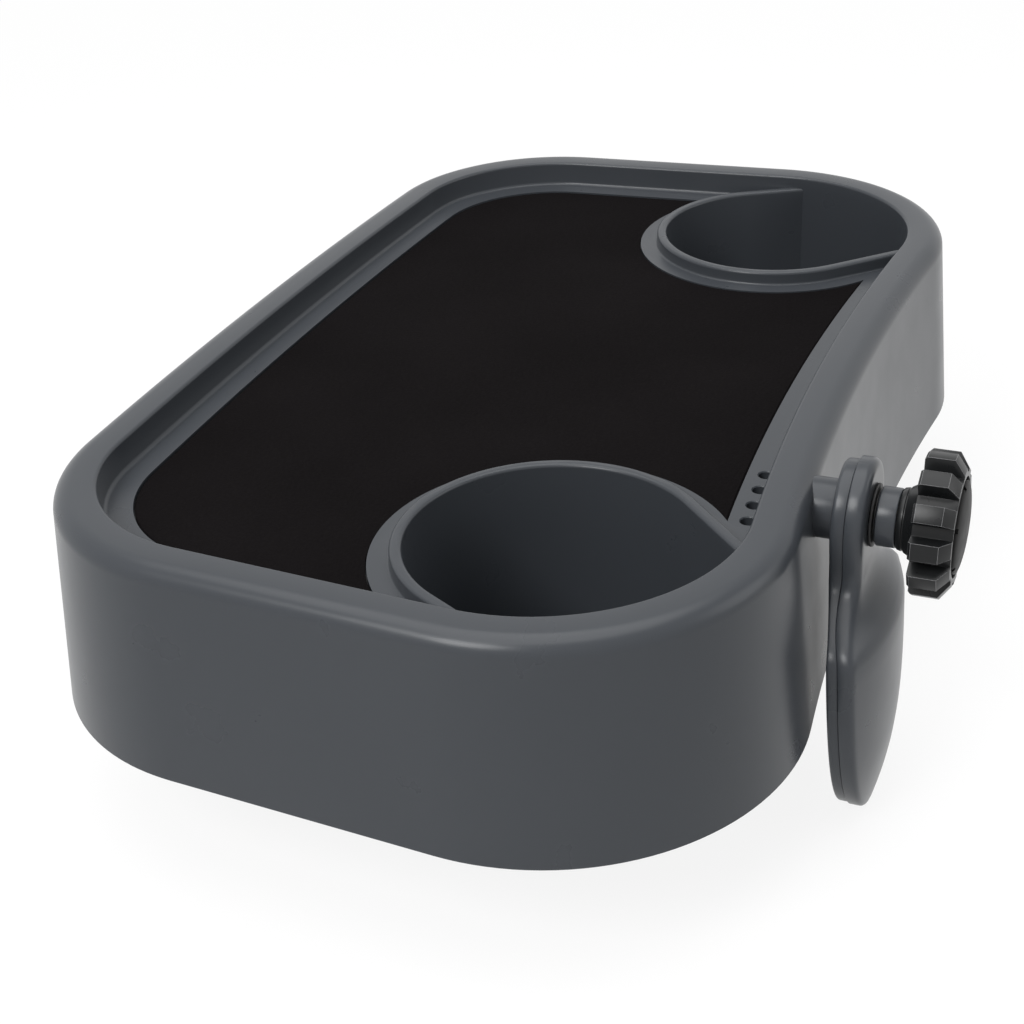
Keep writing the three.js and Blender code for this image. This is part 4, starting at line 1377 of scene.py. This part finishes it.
# %% Finishes of the metal
steel = finish(
    "steel", drawn, {"Lines": 5000}, colors=[(0.50, 0.52, 0.54), (0.60, 0.61, 0.62)],
    roughness=(0.26, 0.42), bump=0.15, distance=0.1, metallic=1,
)
brass = finish(
    "brass", drawn, {"Lines": 4000}, colors=[(0.56, 0.38, 0.14), (0.66, 0.46, 0.18)],
    roughness=(0.25, 0.4), bump=0.15, distance=0.1, metallic=1,
)

# %% [markdown]
# Each modelled piece gets one finish. A few small fittings inside the clamp are plain enough to stay as
# they were packed, and get their finish in the slot they already have.

# %% Give each piece its finish


def dress(piece, material):
    piece.data.materials.clear()
    piece.data.materials.append(material)


for material, pieces in (
    (moulded_grey, [tray_body, paddle_inner, paddle_outer, collar]),
    (moulded_black, [knob, washer_slip]),
    (cap_black, [cap]),
    (washer_black, [washer_rubber]),
    (mat_black, [mat]),
    (steel, [stud] + screws),
):
    for piece in pieces:
        dress(piece, material)
    print(material.name, "on", len(pieces), "modelled pieces")
for name, material in (
    ("backing_plate", steel),
    ("boss_sleeve", steel),
    ("stud_clip", steel),
    ("paddle_bush", steel),
    ("knob_insert", brass),
):
    frame["nodes"][name].material_slots[0].material = material

# %% [markdown]
# The camera stands near one end of the tray, a little above it and turned so that both wells and the clamp
# show. Its place is given from the tray, so it follows the frame.

# %% Camera
CAMERA_PLACE = tray_point(-544.5, -165.9, 258.8)
CAMERA_RIGHT = Vector((0.3718, -0.9271, -0.0474))
CAMERA_LOOK = Vector((0.7958, 0.3446, -0.4979))
CAMERA_LENS = 60.5
SENSOR = 36

look = CAMERA_LOOK.normalized()
right = (CAMERA_RIGHT - CAMERA_RIGHT.dot(look) * look).normalized()
up = right.cross(look)
deselect()
bpy.ops.object.camera_add()
camera = bpy.context.object
camera.name = "camera"
camera.data.lens = CAMERA_LENS
camera.data.sensor_width = SENSOR
camera.matrix_world = Matrix.Translation(CAMERA_PLACE) @ Matrix((right, up, -look)).transposed().to_4x4()
bpy.context.scene.camera = camera
print("camera:", [round(value, 3) for value in camera.location])

# %% [markdown]
# A pale floor lies just below the tip of the paddle, in a white room. The floor is part paint, which takes
# the shadow, and part glow, which only the camera and reflections see. The glow grows with the distance, so
# that the floor runs into the white room without an edge.

# %% Floor
FLOOR_SIZE = 6
FLOOR_GAP = 1
FLOOR_COLOR = (0.92, 0.92, 0.92, 1)
FLOOR_GLOW = 0.88
FADE_START = 0.5
FADE_END = 1.8


def seen_by_eye(tree):
    """One for camera, glossy and transmission rays, else zero."""
    path = tree.nodes.new("ShaderNodeLightPath").outputs
    total = path["Is Camera Ray"]
    for name in ("Is Glossy Ray", "Is Transmission Ray"):
        node = tree.nodes.new("ShaderNodeMath")
        node.operation = "MAXIMUM"
        link(tree, total, node.inputs[0])
        link(tree, path[name], node.inputs[1])
        total = node.outputs[0]
    return total


deselect()
bpy.ops.mesh.primitive_plane_add(size=FLOOR_SIZE, location=(0, 0, cad_box[0][2] - FLOOR_GAP * MM))
floor = bpy.context.object
floor.name = "floor"
paint = bpy.data.materials.new("floor_paint")
paint.use_nodes = True
tree = paint.node_tree
tree.nodes.remove(tree.nodes["Principled BSDF"])
matt = tree.nodes.new("ShaderNodeBsdfDiffuse")
matt.inputs["Color"].default_value = FLOOR_COLOR
glow = tree.nodes.new("ShaderNodeEmission")
mixed = tree.nodes.new("ShaderNodeMixShader")
distance = tree.nodes.new("ShaderNodeVectorMath")
distance.operation = "LENGTH"
link(tree, tree.nodes.new("ShaderNodeTexCoord").outputs["Object"], distance.inputs[0])
share = tree.nodes.new("ShaderNodeMath")
share.operation = "MULTIPLY"
link(tree, seen_by_eye(tree), share.inputs[0])
link(tree, spread(tree, distance.outputs["Value"], FLOOR_GLOW, 1, FADE_START, FADE_END), share.inputs[1])
link(tree, share.outputs["Value"], mixed.inputs["Fac"])
link(tree, matt.outputs["BSDF"], mixed.inputs[1])
link(tree, glow.outputs["Emission"], mixed.inputs[2])
link(tree, mixed.outputs["Shader"], tree.nodes["Material Output"].inputs["Surface"])
dress(floor, paint)
print("floor:", FLOOR_SIZE, "m wide")

# %% [markdown]
# The room is white for the camera and for reflections. For everything else it is a plain low level, so
# that the lamps shape the tray.

# %% Room
ROOM_LEVEL = 0.4
ROOM_COLOR = (1, 1, 1, 1)

room = bpy.data.worlds.new("room")
bpy.context.scene.world = room
room.use_nodes = True
tree = room.node_tree
background = tree.nodes["Background"]
background.inputs["Color"].default_value = ROOM_COLOR
link(tree, spread(tree, seen_by_eye(tree), ROOM_LEVEL, 1, 0, 1), background.inputs["Strength"])
bpy.context.scene.view_settings.view_transform = "Standard"
print("room level:", ROOM_LEVEL)

# %% [markdown]
# Three soft round lamps make a small studio: a wide one above, a weak one before the front wall, and one
# beside the camera that draws the highlights along the rim and on the clamp. Each has a place and a width in
# metres, and a power in watts.

# %% Lamps
LAMPS = {
    "lamp_above": ((0.1, 0.2, 1.3), 1.6, 17),
    "lamp_right": ((0.5, -1.3, 0.6), 1.0, 4),
    "lamp_left": ((-1.16, 0.5, 1.2), 0.75, 20),
}
for name, (place, size, power) in LAMPS.items():
    deselect()
    bpy.ops.object.light_add(type="AREA", location=place)
    lamp = bpy.context.object
    lamp.name = name
    lamp.data.shape = "DISK"
    lamp.data.size = size
    lamp.data.energy = power
    aim = Vector((tray_middle.x, tray_middle.y, 0)) - Vector(place)
    lamp.rotation_euler = aim.to_track_quat("-Z", "Y").to_euler()
print("lamps:", list(LAMPS))
